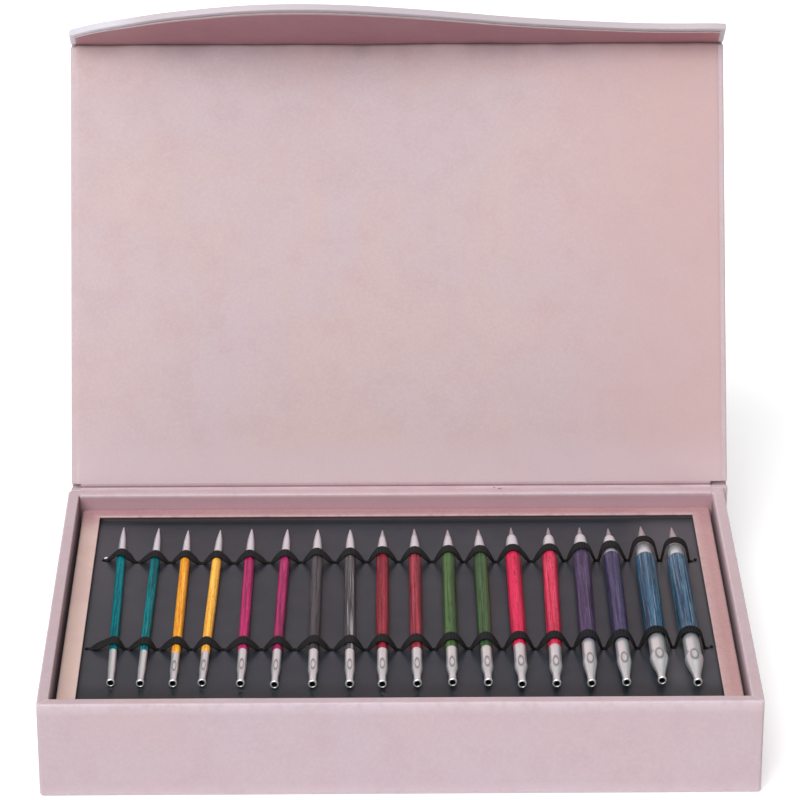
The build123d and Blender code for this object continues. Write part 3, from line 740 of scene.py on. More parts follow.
WOODS = [
    ("teal_wood", (0, 78, 86), (0, 128, 136), (20, 162, 166)),
    ("teal_wood_2", (0, 78, 84), (10, 129, 137), (58, 161, 163)),
    ("amber_wood", (214, 124, 20), (252, 182, 36), (255, 214, 104)),
    ("amber_wood_2", (222, 142, 34), (253, 192, 74), (255, 222, 134)),
    ("magenta_wood", (130, 12, 68), (189, 36, 104), (216, 78, 132)),
    ("magenta_wood_2", (118, 14, 66), (170, 36, 98), (204, 84, 130)),
    ("grey_wood", (44, 40, 44), (72, 68, 72), (104, 100, 102)),
    ("grey_wood_2", (48, 44, 48), (82, 78, 80), (134, 130, 130)),
    ("wine_wood", (92, 12, 28), (148, 34, 50), (178, 84, 90)),
    ("wine_wood_2", (104, 20, 36), (168, 54, 70), (192, 106, 110)),
    ("green_wood", (38, 62, 34), (72, 104, 56), (108, 136, 84)),
    ("green_wood_2", (34, 58, 34), (66, 96, 56), (98, 126, 80)),
    ("red_wood", (160, 10, 46), (214, 30, 78), (236, 92, 120)),
    ("red_wood_2", (160, 20, 50), (212, 50, 86), (236, 112, 130)),
    ("purple_wood", (44, 30, 58), (86, 68, 104), (126, 110, 142)),
    ("purple_wood_2", (38, 32, 60), (76, 70, 104), (118, 112, 146)),
    ("blue_wood", (18, 42, 66), (54, 98, 128), (110, 154, 176)),
    ("blue_wood_2", (18, 42, 66), (60, 100, 128), (124, 164, 182)),
]
woods = []
for i, (name, dark, main, light) in enumerate(WOODS):
    woods.append(dyed_wood(name, linear(*dark), linear(*main), linear(*light), i + 1,
                           0.45 + 0.06 * (i % 3), 0.75 if i == 7 else (0.34 if i in (16, 17) else (0.2 if i == 6 else 0.0)), 0.07 if i < 2 else 0.25))

# ---------------------------------------------------------------------------
# Tray: boards, covering paper, floor lining and magnets
# ---------------------------------------------------------------------------
def corner(w):
    return 0.9 + 0.5 * max(0.0, min(1.0, w / WALL))


WRAP_TOP = TRAY_H - 0.03
outer = [(-13.0, 0.20), (WALL, 0.20), (WALL, WRAP_TOP), (0.0, WRAP_TOP), (0.0, 2.95)]
inner = [(0.25, 2.95), (0.25, WRAP_TOP - 0.25), (WALL - 0.25, WRAP_TOP - 0.25), (WALL - 0.25, 0.45), (-13.0, 0.45)]
path = rounded(outer + inner, [0, 0.7, 0.85, 0.8, 0.08, 0.08, 0.55, 0.6, 0.45, 0], 5)
# extra rows on the long runs
dense = []
for a, b in zip(path, path[1:] + path[:1]):
    dense.append(a)
    length = hypot(b[0] - a[0], b[1] - a[1])
    if length > 6:
        n = int(length / 4)
        dense += [(lerp(a[0], b[0], k / n), lerp(a[1], b[1], k / n)) for k in range(1, n)]


def wrap_warp(p, w):
    x, y, z = p
    if z > 30:
        k = smooth((z - 30) / 9)
        z += 0.05 * k * wave(x + 31 * y, 3, 55) * (1 if w > 0.5 else 0.6)
        if y > IY - 1 and abs(x) < 131.5:
            z -= 0.16 * smooth((131.5 - abs(x)) / 1.2) * k
    # very slight bow of the long walls' faces
    if w > WALL - 1 and 2 < z < 38:
        bulge = 0.06 * sin(pi * (z - 2) / 36) * wave(x + y, 9, 70)
        if abs(y) > abs(x) * HY / HX:
            y += -abs(bulge) * (1 if y > 0 else -1)
        else:
            x += -abs(bulge) * (1 if x > 0 else -1)
    return (x, y, z)


verts, faces, n = ring(IX, IY, dense, corner, 110, 72, 7, wrap_warp)
wear_and_highlight = []
# lighter top rims, partly worn paper and partly painted highlight; the bottom edge is worn
for _ in range(n):
    for w, z in dense:
        v = 0.0
        if z > WRAP_TOP - 1.0:
            v = max(exp(-((w - WALL + 0.1) / 0.45) ** 2), 0.9 * exp(-((w - 0.1) / 0.4) ** 2))
        if z < 1.2 and w > WALL - 1:
            v = 0.5
        wear_and_highlight.append(v)
sheet_v, sheet_f = slab(rim_list(-132.0, 132.0, 0.09, 20, 2), rim_list(-86.6, 86.6, 0.09, 14, 2),
                        [0.0, 0.09, 0.18], 0.09, lambda x, y, z: (x, y, z))
verts, faces = joined((verts, faces), (sheet_v, sheet_f))
wear_and_highlight += [0.0] * len(sheet_v)
tray_wrap = even(mesh("tray_wrap", verts, faces, tray_paper, {"wear_and_highlight": wear_and_highlight}))
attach(tray_wrap, "case")
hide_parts("tray_wrap_paper")


def board_piece(name, node, lo, hi, r, n, body="case", pockets=()):
    """A board with eased edges that replaces a construction board."""
    U = rim_list(lo[0], hi[0], r, n[0], 3)
    V = rim_list(lo[1], hi[1], r, n[1], 3)
    W = rim_list(lo[2], hi[2], r, n[2], 3)
    v, f = slab(U, V, W, r, lambda x, y, z: (x, y, z))
    ob = mesh(name, v, f, board)
    for x, z, radius, depth in pockets:
        cutter_v, cutter_f = revolve([(0, 0), (0, radius), (depth + 1.0, radius), (depth + 1.0, 0)],
                                     (x, lo[1] - 1.0, z), (0, 1, 0), 48)
        cutter = mesh("cutter", cutter_v, cutter_f, board)
        m = ob.modifiers.new("pocket", "BOOLEAN")
        m.operation = "DIFFERENCE"
        m.solver = "EXACT"
        m.object = cutter
        dg = bpy.context.evaluated_depsgraph_get()
        cut = bpy.data.meshes.new_from_object(ob.evaluated_get(dg))
        ob.modifiers.clear()
        ob.data = cut
        bpy.data.objects.remove(cutter)
    even(ob)
    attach(ob, body)
    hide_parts(node)
    return ob


gap = 0.27
ox, oy = HX - gap, HY - gap
bx, by = IX + gap, IY + gap
top_z = WRAP_TOP - gap - 0.16
board_piece("floor_board", "tray_floor_board", (-bx + 0.02, -by + 0.02, 0.47), (bx - 0.02, by - 0.02, FLOOR_Z), 0.15, (26, 18, 1))
board_piece("front_board", "tray_front_board", (-ox, -oy, 0.47), (ox, -by, top_z), 0.5, (60, 2, 10),
            pockets=[(x + SHIFT, 22.3, 5.05, 1.6) for x in (-84.0, 8.0)])
board_piece("back_board", "tray_back_board", (-ox, by, 0.47), (ox, oy, top_z), 0.5, (60, 2, 10))
board_piece("left_board", "tray_left_board", (-ox, -by + 0.02, 0.47), (-bx, by - 0.02, top_z), 0.5, (2, 40, 10))
board_piece("right_board", "tray_right_board", (bx, -by + 0.02, 0.47), (ox, by - 0.02, top_z), 0.5, (2, 40, 10))

v, f = slab(rim_list(-IX + 0.06, IX - 0.06, 0.1, 60, 2), rim_list(-IY + 0.06, IY - 0.06, 0.1, 40, 2),
            [FLOOR_Z + 0.01, FLOOR_Z + 0.11, FLOOR_Z + 0.25], 0.1,
            lambda x, y, z: (x, y, z + 0.02 * wave(x + 13 * y, 4, 30) * (1 if z > 2.6 else 0)))
floor_lining = even(mesh("floor_lining", v, f, lining_paper, {"wear_and_highlight": [0.0] * len(v), "shade": [0.0] * len(v)}))
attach(floor_lining, "case")
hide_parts("tray_floor_lining")
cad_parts["front_wall_magnets"].data.materials.clear()
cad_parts["front_wall_magnets"].data.materials.append(magnet_metal)
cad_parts["flap_magnets"].data.materials.clear()
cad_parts["flap_magnets"].data.materials.append(magnet_metal)


# ---------------------------------------------------------------------------
# Spine
# ---------------------------------------------------------------------------
def shell(name, node, lo, hi, r, n, thick, place, material, body, wear_of=None):
    """A hollow paper skin round a board."""
    o = slab(*(rim_list(lo[k], hi[k], r, n[k], 4) for k in range(3)), r, place)
    li, hi2 = [v + thick for v in lo], [v - thick for v in hi]
    i = slab(*(rim_list(li[k], hi2[k], max(0.12, r - thick), n[k], 2) for k in range(3)), max(0.12, r - thick), place)
    v, f = joined(o, i)
    w = [wear_of(k) if wear_of else 0.0 for k in range(len(v))]
    ob = even(mesh(name, v, f, material, {"wear_and_highlight": w}, flip_inner=len(o[0])))
    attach(ob, body)
    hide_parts(node)
    return ob


def block(name, node, lo, hi, r, n, place, material, body):
    v, f = slab(*(rim_list(lo[k], hi[k], r, n[k], 3) for k in range(3)), r, place)
    ob = even(mesh(name, v, f, material))
    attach(ob, body)
    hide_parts(node)
    return ob


straight = lambda x, y, z: (x, y, z)
SP_L, SP_R = SHIFT - HALF, SHIFT + HALF
shell("spine_cover", "spine_cover_paper", (SP_L, HY + 0.02, 0.0), (SP_R, HY + 2.72, TRAY_H - 0.12), 0.55, (80, 2, 12),
      0.25, straight, cover_paper, "case")
block("spine_stiffener", "spine_board", (SP_L + 0.27, HY + 0.29, 0.27), (SP_R - 0.27, HY + 2.45, TRAY_H - 0.39), 0.3,
      (60, 2, 10), straight, board, "case")

# ---------------------------------------------------------------------------
# Lid
# ---------------------------------------------------------------------------
def lid_place(x, s, w):
    # the large faces are a touch uneven, as glued paper on board is
    k = smooth(min(s - 0.5, LID_END - s, x - SP_L, SP_R - x) / 12)
    w += 0.05 * k * wave(x, 11, 80) * (1 if w < -1.2 else 0)
    return lid_pt(x, s, w)


LID_FACE_W = 0.19
shell("lid_cover", "lid_cover_paper", (SP_L, 0.565, -2.65), (SP_R, LID_END, LID_FACE_W), 0.7, (90, 60, 2), 0.25,
      lid_place, cover_paper, "lid")
block("lid_stiffener", "lid_board", (SP_L + 0.27, 0.84, -2.38), (SP_R - 0.27, LID_END - 0.27, LID_FACE_W - 0.27), 0.35,
      (60, 40, 2), lid_pt, board, "lid")

# ---------------------------------------------------------------------------
# Flap with its waved edge
# ---------------------------------------------------------------------------
EDGE_MAX = 37.6
V0 = 1.2
FLAP_OUT, FLAP_IN = -2.1, 0.62


def flap_place(inset=0.0):
    def place(x, v, w):
        xm = max(-HALF, min(HALF, x - SHIFT))
        edge = flap_edge(xm)
        if v > EDGE_MAX - 2:
            v = edge - (EDGE_MAX - v)
        else:
            v = V0 + (v - V0) * (edge - 2 - V0) / (EDGE_MAX - 2 - V0)
        return flap_pt(x, v, w)
    return place


o = slab(rim_list(SP_L, SP_R, 0.38, 150, 4), rim_list(V0, EDGE_MAX, 0.38, 16, 4), rim_list(FLAP_OUT, FLAP_IN, 0.38, 2, 4), 0.38, flap_place())
i = slab(rim_list(SP_L + 0.25, SP_R - 0.25, 0.2, 150, 2), rim_list(V0 + 0.25, EDGE_MAX - 0.25, 0.2, 16, 2),
         rim_list(FLAP_OUT + 0.25, FLAP_IN - 0.25, 0.2, 2, 2), 0.2, flap_place())
v, f = joined(o, i)
wear_and_highlight = []
rim = []
# lighter free edge, partly worn paper and partly painted highlight; rim marks the edge and the turned-in margin for
# their cooler tone
for (x, y, z) in v:
    dv = (y - FY) * cos(TURN) + (z - FZ) * sin(TURN)
    near = flap_edge(max(-HALF, min(HALF, x - SHIFT))) - dv
    wear_and_highlight.append(0.3 * exp(-(max(0.0, near - 0.1) / 0.5) ** 2))
    dw = (z - FZ) * cos(TURN) - (y - FY) * sin(TURN)
    rim.append(max(smooth(dw / 0.5), exp(-(max(0.0, near - 0.1) / 0.5) ** 2)))
flap_cover = even(mesh("flap_cover", v, f, flap_paper, {"wear_and_highlight": wear_and_highlight, "rim": rim}, flip_inner=len(o[0])))
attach(flap_cover, "flap")
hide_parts("flap_cover_paper")
v, f = slab(rim_list(SP_L + 0.27, SP_R - 0.27, 0.2, 150, 2), rim_list(V0 + 0.27, EDGE_MAX - 0.27, 0.2, 16, 2),
            rim_list(FLAP_OUT + 0.27, FLAP_IN - 0.27, 0.2, 2, 2), 0.2, flap_place())
flap_stiffener = even(mesh("flap_stiffener", v, f, board))
for x in (-84.0, 8.0):
    p0, p1 = Vector(flap_pt(x + SHIFT, 18.0, FLAP_IN)), Vector(flap_pt(x + SHIFT, 18.0, -1.0))
    cv, cf = revolve([(-1.0, 0), (-1.0, 5.05), (1.53, 5.05), (1.53, 0)], tuple(p0), tuple(p1 - p0), 48)
    cutter = mesh("cutter", cv, cf, board)
    m = flap_stiffener.modifiers.new("pocket", "BOOLEAN")
    m.operation, m.solver, m.object = "DIFFERENCE", "EXACT", cutter
    flap_stiffener.modifiers.move(len(flap_stiffener.modifiers) - 1, 0)
    dg = bpy.context.evaluated_depsgraph_get()
    cut = bpy.data.meshes.new_from_object(flap_stiffener.evaluated_get(dg))
    flap_stiffener.modifiers.clear()
    flap_stiffener.data = cut
    bpy.data.objects.remove(cutter)
even(flap_stiffener)
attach(flap_stiffener, "flap")
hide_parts("flap_board")

# ---------------------------------------------------------------------------
# Lining: one sheet up the lid, round the fold and over the flap, where it lifts off near the free edge
# ---------------------------------------------------------------------------
INSET = 2.25


def bezier(p0, p1, p2, p3, n):
    out = []
    for i in range(1, n):
        t = i / n
        a, b, c, d = (1 - t) ** 3, 3 * t * (1 - t) ** 2, 3 * t * t * (1 - t), t ** 3
        out.append((a * p0[0] + b * p1[0] + c * p2[0] + d * p3[0], a * p0[1] + b * p1[1] + c * p2[1] + d * p3[1]))
    return out


def lift(xm):
    """How far the flap's lining stands off at its free edge."""
    left = exp(-((xm + 122) / 13) ** 2)
    right = exp(-((xm - 118) / 16) ** 2)
    # no more than the room between the closed flap and the front wall
    return min(0.22, 0.10 + 0.42 * left + 0.40 * right + 0.06 * (1 + wave(xm, 21, 25)))


def lining_path(x):
    xm = x - SHIFT
    rows = []
    for k in range(61):
        s = 0.72 + (181.4 - 0.72) * (k / 60)
        w = 0.285 + 0.012 * wave(x + 0.6 * s, 13, 34)
        rows.append(lid_pt(0, s, w)[1:])
    a, d = rows[-1], flap_pt(0, 2.2, FLAP_IN + 0.12)[1:]
    sag = 0.10 * wave(x, 17, 18)
    b = lid_pt(0, 183.0 + sag, 0.22)[1:]
    c = flap_pt(0, 0.1 - sag, FLAP_IN + 0.16)[1:]
    rows += bezier(a, b, c, d, 9)
    end = flap_edge(xm) - INSET
    g = lift(xm)
    for k in range(25):
        t = k / 24
        v = 2.2 + (end - 2.2) * t
        near = max(0.0, 1 - (end - v) / min(9.0, end - 2.2))
        rows.append(flap_pt(0, v, FLAP_IN + 0.12 + g * near ** 2)[1:])
    return rows


lx0, lx1 = SHIFT - HALF + INSET, SHIFT + HALF - INSET
xs = spread(lx0, lx1, 200)


def lining_thick(x, i, m):
    left = m - 1 - i
    return 0.15 + (0.22 + 0.55 * (lift(x - SHIFT) - 0.10)) * max(0.0, 1 - left / 2)


v, f = sheet_strip(xs, lining_path, lining_thick)
per = len(v) // len(xs)
rows_n = per // 2
wear_and_highlight = []
for x in xs:
    column = [0.0] * per
    for k in range(4):
        column[rows_n - 1 - k] = 1.0 - 0.3 * k if k < 1 else 0.0
        column[rows_n + k] = 1.0 if k < 1 else 0.0
    wear_and_highlight += column
shade, crease = [], []
# painted shade on the flap's underside and on the lid just below the fold, and a painted dark line along the fold
for x in xs:
    half, dark = [], []
    for i in range(rows_n):
        k = i - 61
        half.append(0.26 * exp(-(max(0, -k) / 2.6)) * (1 - smooth((k + 1) / 4)) + (0.66 - 0.07 * smooth((-95.0 - x) / 20)) * smooth((k - 1) / 6))
        dark.append(0.95 * exp(-((k - 3.4 + 0.9 * wave(x, 61, 24)) / (2.9 + 0.8 * wave(x, 62, 16))) ** 2) if -3 < k < 12 else 0.0)
    half[-1] = half[-2] = 0.0
    shade += half + half[::-1]
    crease += dark + dark[::-1]
lining = even(mesh("lid_and_flap_lining", v, f, lining_paper, {"wear_and_highlight": wear_and_highlight, "shade": shade, "crease": crease}))
mid_a, mid_b = Vector(lid_pt(0, 181.6, 0.3)), Vector(flap_pt(0, 2.0, FLAP_IN + 0.1))
spread_dir = Vector((0, sin(LEAN) + cos(TURN), cos(LEAN) + sin(TURN))).normalized()
start = mid_a
end = mid_a + spread_dir * (mid_b - mid_a).dot(spread_dir)
tuple(q * 0.001 for q in start)
tuple(q * 0.001 for q in end)
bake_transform(lining)
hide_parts("lid_lining_paper", "flap_lining_paper")


# covering paper round the outside of the fold
def outer_fold(x):
    sag = 0.05 * wave(x, 19, 25)
    a, d = lid_pt(0, 181.9, -2.55)[1:], flap_pt(0, 1.5, -2.0)[1:]
    b, c = lid_pt(0, 182.9 + sag, -2.22)[1:], flap_pt(0, 0.1 - sag, -1.95)[1:]
    return [a] + bezier(a, b, c, d, 12) + [d]


xs = spread(SP_L + 0.25, SP_R - 0.25, 150)
v, f = sheet_strip(xs, outer_fold, 0.25)
fold = mesh("flap_fold_cover", v, f, cover_paper, {"wear_and_highlight": [0.25] * len(v)})
a, b = Vector(lid_pt(0, 182.0, -2.6)), Vector(flap_pt(0, 1.4, -2.05))
tuple(q * 0.001 for q in a)
tuple(q * 0.001 for q in b)
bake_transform(fold)
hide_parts("flap_hinge_crease")


# ---------------------------------------------------------------------------
# Paper hinge between the tray's back wall and the lid, inside and outside
# ---------------------------------------------------------------------------
def inner_hinge(x):
    a, b, c = wave(x, 31, 30), wave(x, 32, 22), wave(x, 33, 26)
    side = smooth((130.4 - abs(x)) / 6)
    y0 = IY - 0.14
    return [(y0, 24.0), (y0, 28.0), (y0, 31.0), (y0, 34.0), (y0, 36.5), (y0, 37.7),
            (y0 + 0.03, 38.2 + 0.05 * a), (y0 + 0.12, 38.62 + 0.05 * a), (y0 + 0.32, 38.95 + 0.05 * a),
            (y0 + 0.65, 39.13 + 0.04 * a * side), (y0 + 1.15, 39.21 + 0.04 * a * side),
            (y0 + 1.9, 39.19 + 0.03 * a * side), (y0 + 2.8, 39.12), (88.6 + 0.2 * b, 39.03 + 0.03 * b),
            (89.3 + 0.2 * b, 39.02 + 0.03 * b), (89.9, 39.10 + 0.03 * c), (90.45, 39.19 + 0.03 * c),
            (90.95, 39.24 + 0.03 * c), (91.4, 39.23 + 0.02 * c), (91.8, 39.14), (92.08, 38.98), (92.28, 38.85),
            (92.46, 38.88), (92.56, 39.08), (92.60, 39.45), (92.60, 39.85), (92.62, 40.20), (92.68, 40.48)]


xs = spread(-130.2, 130.2, 260)
v, f = sheet_strip(xs, inner_hinge, lambda x, i, m: 0.18 if i < m - 3 else 0.10)
per = len(v) // len(xs)
rows_h = per // 2
wear_and_highlight, groove = [], []
for x in xs:
    column = [0.0] * per
    # painted highlight: pale irregular lines along the crest over the back wall and along the rise over the spine
    for k in range(6, 12):
        column[k] = 0.60 * (0.6 + 0.5 * wave(x, 41, 14)) if k in (7, 8) else 0.12
    for k in range(16, 20):
        column[k] = max(0.0, 0.35 + 0.5 * wave(x, 42, 16))
    wear_and_highlight += column
    # painted shade: a dark line in the groove at the lid's foot
    half = [0.0] * rows_h
    for k in range(len(half)):
        half[k] = {20: 0.25, 21: 0.65, 22: 0.85, 23: 0.75, 24: 0.4}.get(k, 0.0)
    groove += half + half[::-1]
hinge = even(mesh("lid_hinge_inner_paper", v, f, strip_paper, {"wear_and_highlight": wear_and_highlight, "crease": groove}))
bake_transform(hinge)


def outer_hinge(x):
    k = 0.08 * wave(x, 35, 30)
    a = lid_pt(0, 0.62, -2.3)[1:]
    return [(92.28, 38.6), (92.34, 38.4), (92.5, 38.22 + k), (92.8, 38.10 + k), (93.2, 38.05 + k), (93.6, 38.08 + k),
            (94.0, 38.16 + k), (94.4, 38.32 + k), (94.75, 38.52), (95.0, 38.75), a]


xs = spread(SP_L + 0.25, SP_R - 0.25, 150)
v, f = sheet_strip(xs, outer_hinge, 0.22)
hinge_out = mesh("lid_hinge_outer_paper", v, f, cover_paper, {"wear_and_highlight": [0.2] * len(v)})
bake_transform(hinge_out)
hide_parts("lid_hinge_crease")

# ---------------------------------------------------------------------------
# Lift-out platform: card frame, spacer and panel
# ---------------------------------------------------------------------------
def frame_corner(w):
    # w is measured outwards from the window's edge
    return 0.35 + 1.3 * max(0.0, min(1.0, w / 7.4))


WX = FRAME_X - WINDOW_X
WINDOW_HALF, WINDOW_MID = (WINDOW_BACK + WINDOW_FRONT) / 2, (WINDOW_BACK - WINDOW_FRONT) / 2
outline = [(0.0, FRAME_TOP - FRAME_T), (0.0, FRAME_TOP), (WX, FRAME_TOP), (WX, 2.85),
           (WX - FRAME_T, 2.85), (WX - FRAME_T, FRAME_TOP - FRAME_T)]
outline = rounded(outline, [0.15, 0.4, 0.9, 0.2, 0.2, 0.1], 5)
dense = []
for a, b in zip(outline, outline[1:] + outline[:1]):
    dense.append(a)
    length = hypot(b[0] - a[0], b[1] - a[1])
    if length > 3:
        n = int(length / 2.5)
        dense += [(lerp(a[0], b[0], k / n), lerp(a[1], b[1], k / n)) for k in range(1, n)]
verts, faces, n = ring(WINDOW_X, WINDOW_HALF, dense, frame_corner, 100, 66, 6)
# the ring keeps one width all round, so its outside is stretched to the card's true depth
fixed = []
for x, y, z in verts:
    over = abs(y) - WINDOW_HALF
    if over > 0:
        y = (1 if y > 0 else -1) * (WINDOW_HALF + over * (FRAME_Y - (WINDOW_BACK if y > 0 else WINDOW_FRONT)) / WX)
    y += WINDOW_MID
    if z > 30:
        z += 0.04 * wave(x * 0.7 + y * 1.3, 51, 38)
    fixed.append((x, y, z))
wear_and_highlight = []
# lighter window edge and outer edge: partly worn card, partly painted highlight
for _ in range(n):
    for w, z in dense:
        v = 0.0
        if z > FRAME_TOP - 0.9:
            v = max(0.9 * exp(-(w / 0.4) ** 2), 0.6 * exp(-((w - WX) / 0.6) ** 2))
        wear_and_highlight.append(v)
card = even(mesh("platform_card_frame", fixed, faces, frame_card, {"wear_and_highlight": wear_and_highlight}))
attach(card, "platform")
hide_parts("platform_frame")
for name, material in (("needle_panel", panel_card), ("panel_spacer_frame", spacer_card)):
    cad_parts[name].data.materials.clear()
    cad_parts[name].data.materials.append(material)


# ---------------------------------------------------------------------------
# Needles
# ---------------------------------------------------------------------------
def needle_z(dia):
    return PANEL_TOP + 0.05 + dia / 2


def needle_x(needle, y):
    return needle[1] + y * tan(radians(needle[2]))


def point_shares(dia, length):
    R = dia / 2
    if dia < 4.9:
        shares = [(0.5, 0.10), (2.5, 0.27), (5.75, 0.48), (11.0, 0.71), (19.0, 0.86), (length, 0.93)]
    elif dia < 5.9:
        shares = [(0.5, 0.09), (3.0, 0.24), (7.9, 0.51), (12.0, 0.68), (18.0, 0.84), (length, 0.93)]
    elif dia < 7.0:
        shares = [(0.5, 0.08), (4.0, 0.24), (8.4, 0.44), (9.4, 0.60), (11.0, 0.72), (16.0, 0.84), (length, 0.93)]
    else:
        shares = [(0.5, 0.07), (5.0, 0.26), (10.0, 0.44), (17.5, 0.68), (19.0, 0.775), (length, 0.80)]
    return [(t, max(0.26, k * R)) for t, k in shares]


SLEEVES = {3.5: (1.49, 1.49), 3.75: (1.60, 1.60), 4.0: (1.76, 1.76), 4.5: (1.90, 1.95), 5.0: (2.05, 2.08),
           5.5: (2.17, 2.28), 6.0: (2.40, 2.52), 6.5: (2.66, 2.80), 8.0: (3.20, 3.57)}


def shaft_profile(dia):
    R = dia / 2
    return [(0.0, SLEEVES[dia][0] + 0.09), (6.0, 0.935 * R), (30.0, R)]


def needle_radius(needle, y):
    dia, x0, angle, y_tip, y_end, y_wood, length = needle
    t = y_tip - y
    if t < length:
        p = point_shares(dia, length)
        for (t0, r0), (t1, r1) in zip(p, p[1:]):
            if t0 <= t <= t1:
                return lerp(r0, r1, (t - t0) / (t1 - t0))
    if y < y_wood:
        return SLEEVES[dia][1]
    p = shaft_profile(dia)
    for (t0, r0), (t1, r1) in zip(p, p[1:]):
        if t0 <= y - y_wood <= t1:
            return lerp(r0, r1, (y - y_wood - t0) / (t1 - t0))
    return dia / 2


RING = {3.5: 1.62, 3.75: 1.65, 4.0: 1.68, 4.5: 1.72, 5.0: 1.72, 5.5: 1.72, 6.0: 1.72, 6.5: 1.72, 8.0: 1.72}
NECK = {3.5: 1.27, 3.75: 1.28, 4.0: 1.28, 4.5: 1.40, 5.0: 1.38, 5.5: 1.42, 6.0: 1.45, 6.5: 1.45, 8.0: 1.45}

for number, needle in enumerate(NEEDLES, 1):
    dia, x0, angle, y_tip, y_end, y_wood, length = needle
    a = radians(angle)
    R = dia / 2
    body = "needle_%02d" % number
    origin = (x0, 0, needle_z(dia))
    along = (sin(a), cos(a), 0)
    tip, end, joint = y_tip / cos(a), y_end / cos(a), y_wood / cos(a)
    base = tip - length
    sleeve, bulge = SLEEVES[dia]
    r_back = sleeve + 0.09
    tenon = 1.15 if dia < 3.9 else 0.56 * R
    r_front = R if dia < 7.0 else 0.93 * R

    # wooden shaft
    body_line = flowing([(joint, r_back - 0.04), (joint + 0.25, r_back), (joint + 6.0, 0.935 * R),
                         (joint + 16.0, 0.972 * R), (joint + 30.0, R), (base - 2.0, R), (base - 0.2, r_front), (base, r_front - 0.05)], 1.5)
    outline = [(joint - 6.0, 0.0), (joint - 6.0, tenon - 0.15), (joint - 5.85, tenon), (joint, tenon)] + body_line \
        + [(base, tenon), (base + 5.85, tenon), (base + 6.0, tenon - 0.15), (base + 6.0, 0.0)]
    v, f = revolve(outline, origin, along, 56)
    wood = mesh(body + "_wood", v, f, woods[number - 1])
    even(wood)
    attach(wood, body)
    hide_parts(body + "_shaft")

    # metal point
    prof = point_shares(dia, length)
    r_tip = prof[0][1]
    line = flowing(prof, 0.9)
    nose = [(tip - 0.5 * (1 - cos(q)) * 1.0, r_tip * sin(q)) for q in (0.0, 0.35, 0.7, 1.05, 1.35)]
    outline = nose + [(tip - t, r) for t, r in line[:-1]] + [(base + 0.18, prof[-1][1]), (base + 0.02, prof[-1][1] - 0.12),
              (base + 0.02, tenon + 0.04), (base + 6.2, tenon + 0.04), (base + 6.2, 0.0)]
    v, f = revolve(outline, origin, along, 56)
    shoulder = 0.0 if dia < 4.9 else (7.9 if dia < 5.9 else (9.0 if dia < 7.0 else 17.6))
    # painted reflection of the lid on the cone, fading out at the shoulder
    cone = []
    for t, r in outline:
        share = (0.8 if dia > 5.9 else 0.45) * (1 - smooth((tip - t - shoulder + 0.6) / 1.2)) if shoulder else 0.0
        cone += [share] * (1 if r < 1e-7 else 56)
    point = even(mesh(body + "_point", v, f, point_metal, {"cone": cone}))
    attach(point, body)
    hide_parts(body + "_metal_ends")

    # cable socket: sleeve, bulge, hollow-curved taper, neck, rolled ring and threaded bore
    span = joint - end
    bulge_at = end + (0.46 if dia < 6.4 else 0.52) * span
    neck_at = end + (0.22 if dia < 6.4 else 0.12) * span
    neck, rim = NECK[dia], RING[dia]
    taper = [(joint - 0.25, sleeve), (bulge_at + 3.2, sleeve * 0.995), (bulge_at + 0.8, bulge),
             (lerp(bulge_at, neck_at, 0.28), lerp(bulge, neck, 0.26)), (lerp(bulge_at, neck_at, 0.62), lerp(bulge, neck, 0.68)),
             (neck_at, neck + 0.02), (end + 1.75, neck)]
    outer_line = [(joint - 0.02, sleeve - 0.10)] + flowing(taper, 0.7)
    lip = [(end + 1.45, neck + 0.04), (end + 1.25, lerp(neck, rim, 0.45)), (end + 1.05, lerp(neck, rim, 0.85)), (end + 0.8, rim),
           (end + 0.45, rim + 0.02), (end + 0.2, rim - 0.08), (end + 0.06, rim - 0.22), (end, rim - 0.38),
           (end + 0.05, 1.16), (end + 0.2, 1.03)]
    thread = []
    t = end + 0.35
    while t < end + 7.6:
        thread += [(t, 1.02), (t + 0.13, 0.95), (t + 0.20, 0.95), (t + 0.33, 1.02)]
        t += 0.40
    outline = [(joint - 6.2, 0.0), (joint - 6.2, tenon + 0.04), (joint - 0.02, tenon + 0.04)] + outer_line + lip + thread \
        + [(end + 7.95, 0.93), (end + 8.0, 0.85), (end + 8.0, 0.0)]
    v, f = revolve(outline, origin, along, 56)
    # painted shade: the threaded bore is darkened inside
    dark = []
    for k, (t, r) in enumerate(outline):
        inside = 1.0 if k >= 3 + len(outer_line) + len(lip) - 1 else 0.0
        dark += [inside] * (1 if r < 1e-7 else 56)
    if number > 2:
        # a plain oval dimple in the sleeve's upper face, with painted shade round its rim
        ahead, half_w, half_l, middle = Vector(along).normalized(), 0.45 * sleeve, 3.4, end + 0.51 * span
        for k, p in enumerate(v):
            p = Vector(p) - Vector(origin)
            t = p.dot(ahead)
            out = p - ahead * t
            if out.length < 1.3 or out.z <= 0.0 or abs(t - middle) > 1.6 * half_l:
                continue
            q = hypot(atan2(hypot(out.x, out.y), out.z) * out.length / half_w, (t - middle) / half_l)
            dark[k] = max(dark[k], 0.72 * exp(-((q - 1.0) / 0.22) ** 2))
            if q < 1.0:
                v[k] = tuple(Vector(v[k]) - out / out.length * 0.30 * (1 - q * q))
    socket = even(mesh(body + "_cable_socket", v, f, socket_metal, {"bore": dark}))
    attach(socket, body)
    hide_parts(body + "_metal_ends")


# ---------------------------------------------------------------------------
# Elastics: one braided band each, arched over the needles and pulled through the panel between them
# ---------------------------------------------------------------------------
def touch(foot, centre, radius, side):
    dx, dz = foot[0] - centre[0], foot[1] - centre[1]
    dist = hypot(dx, dz)
    a = atan2(dz, dx) + side * acos(min(1.0, radius / dist))
    return (centre[0] + radius * cos(a), centre[1] + radius * sin(a)), a


LEANING = {16: 1.0, 17: 2.6, 18: 1.8}     # how far the rear band is pushed back at its top, in mm


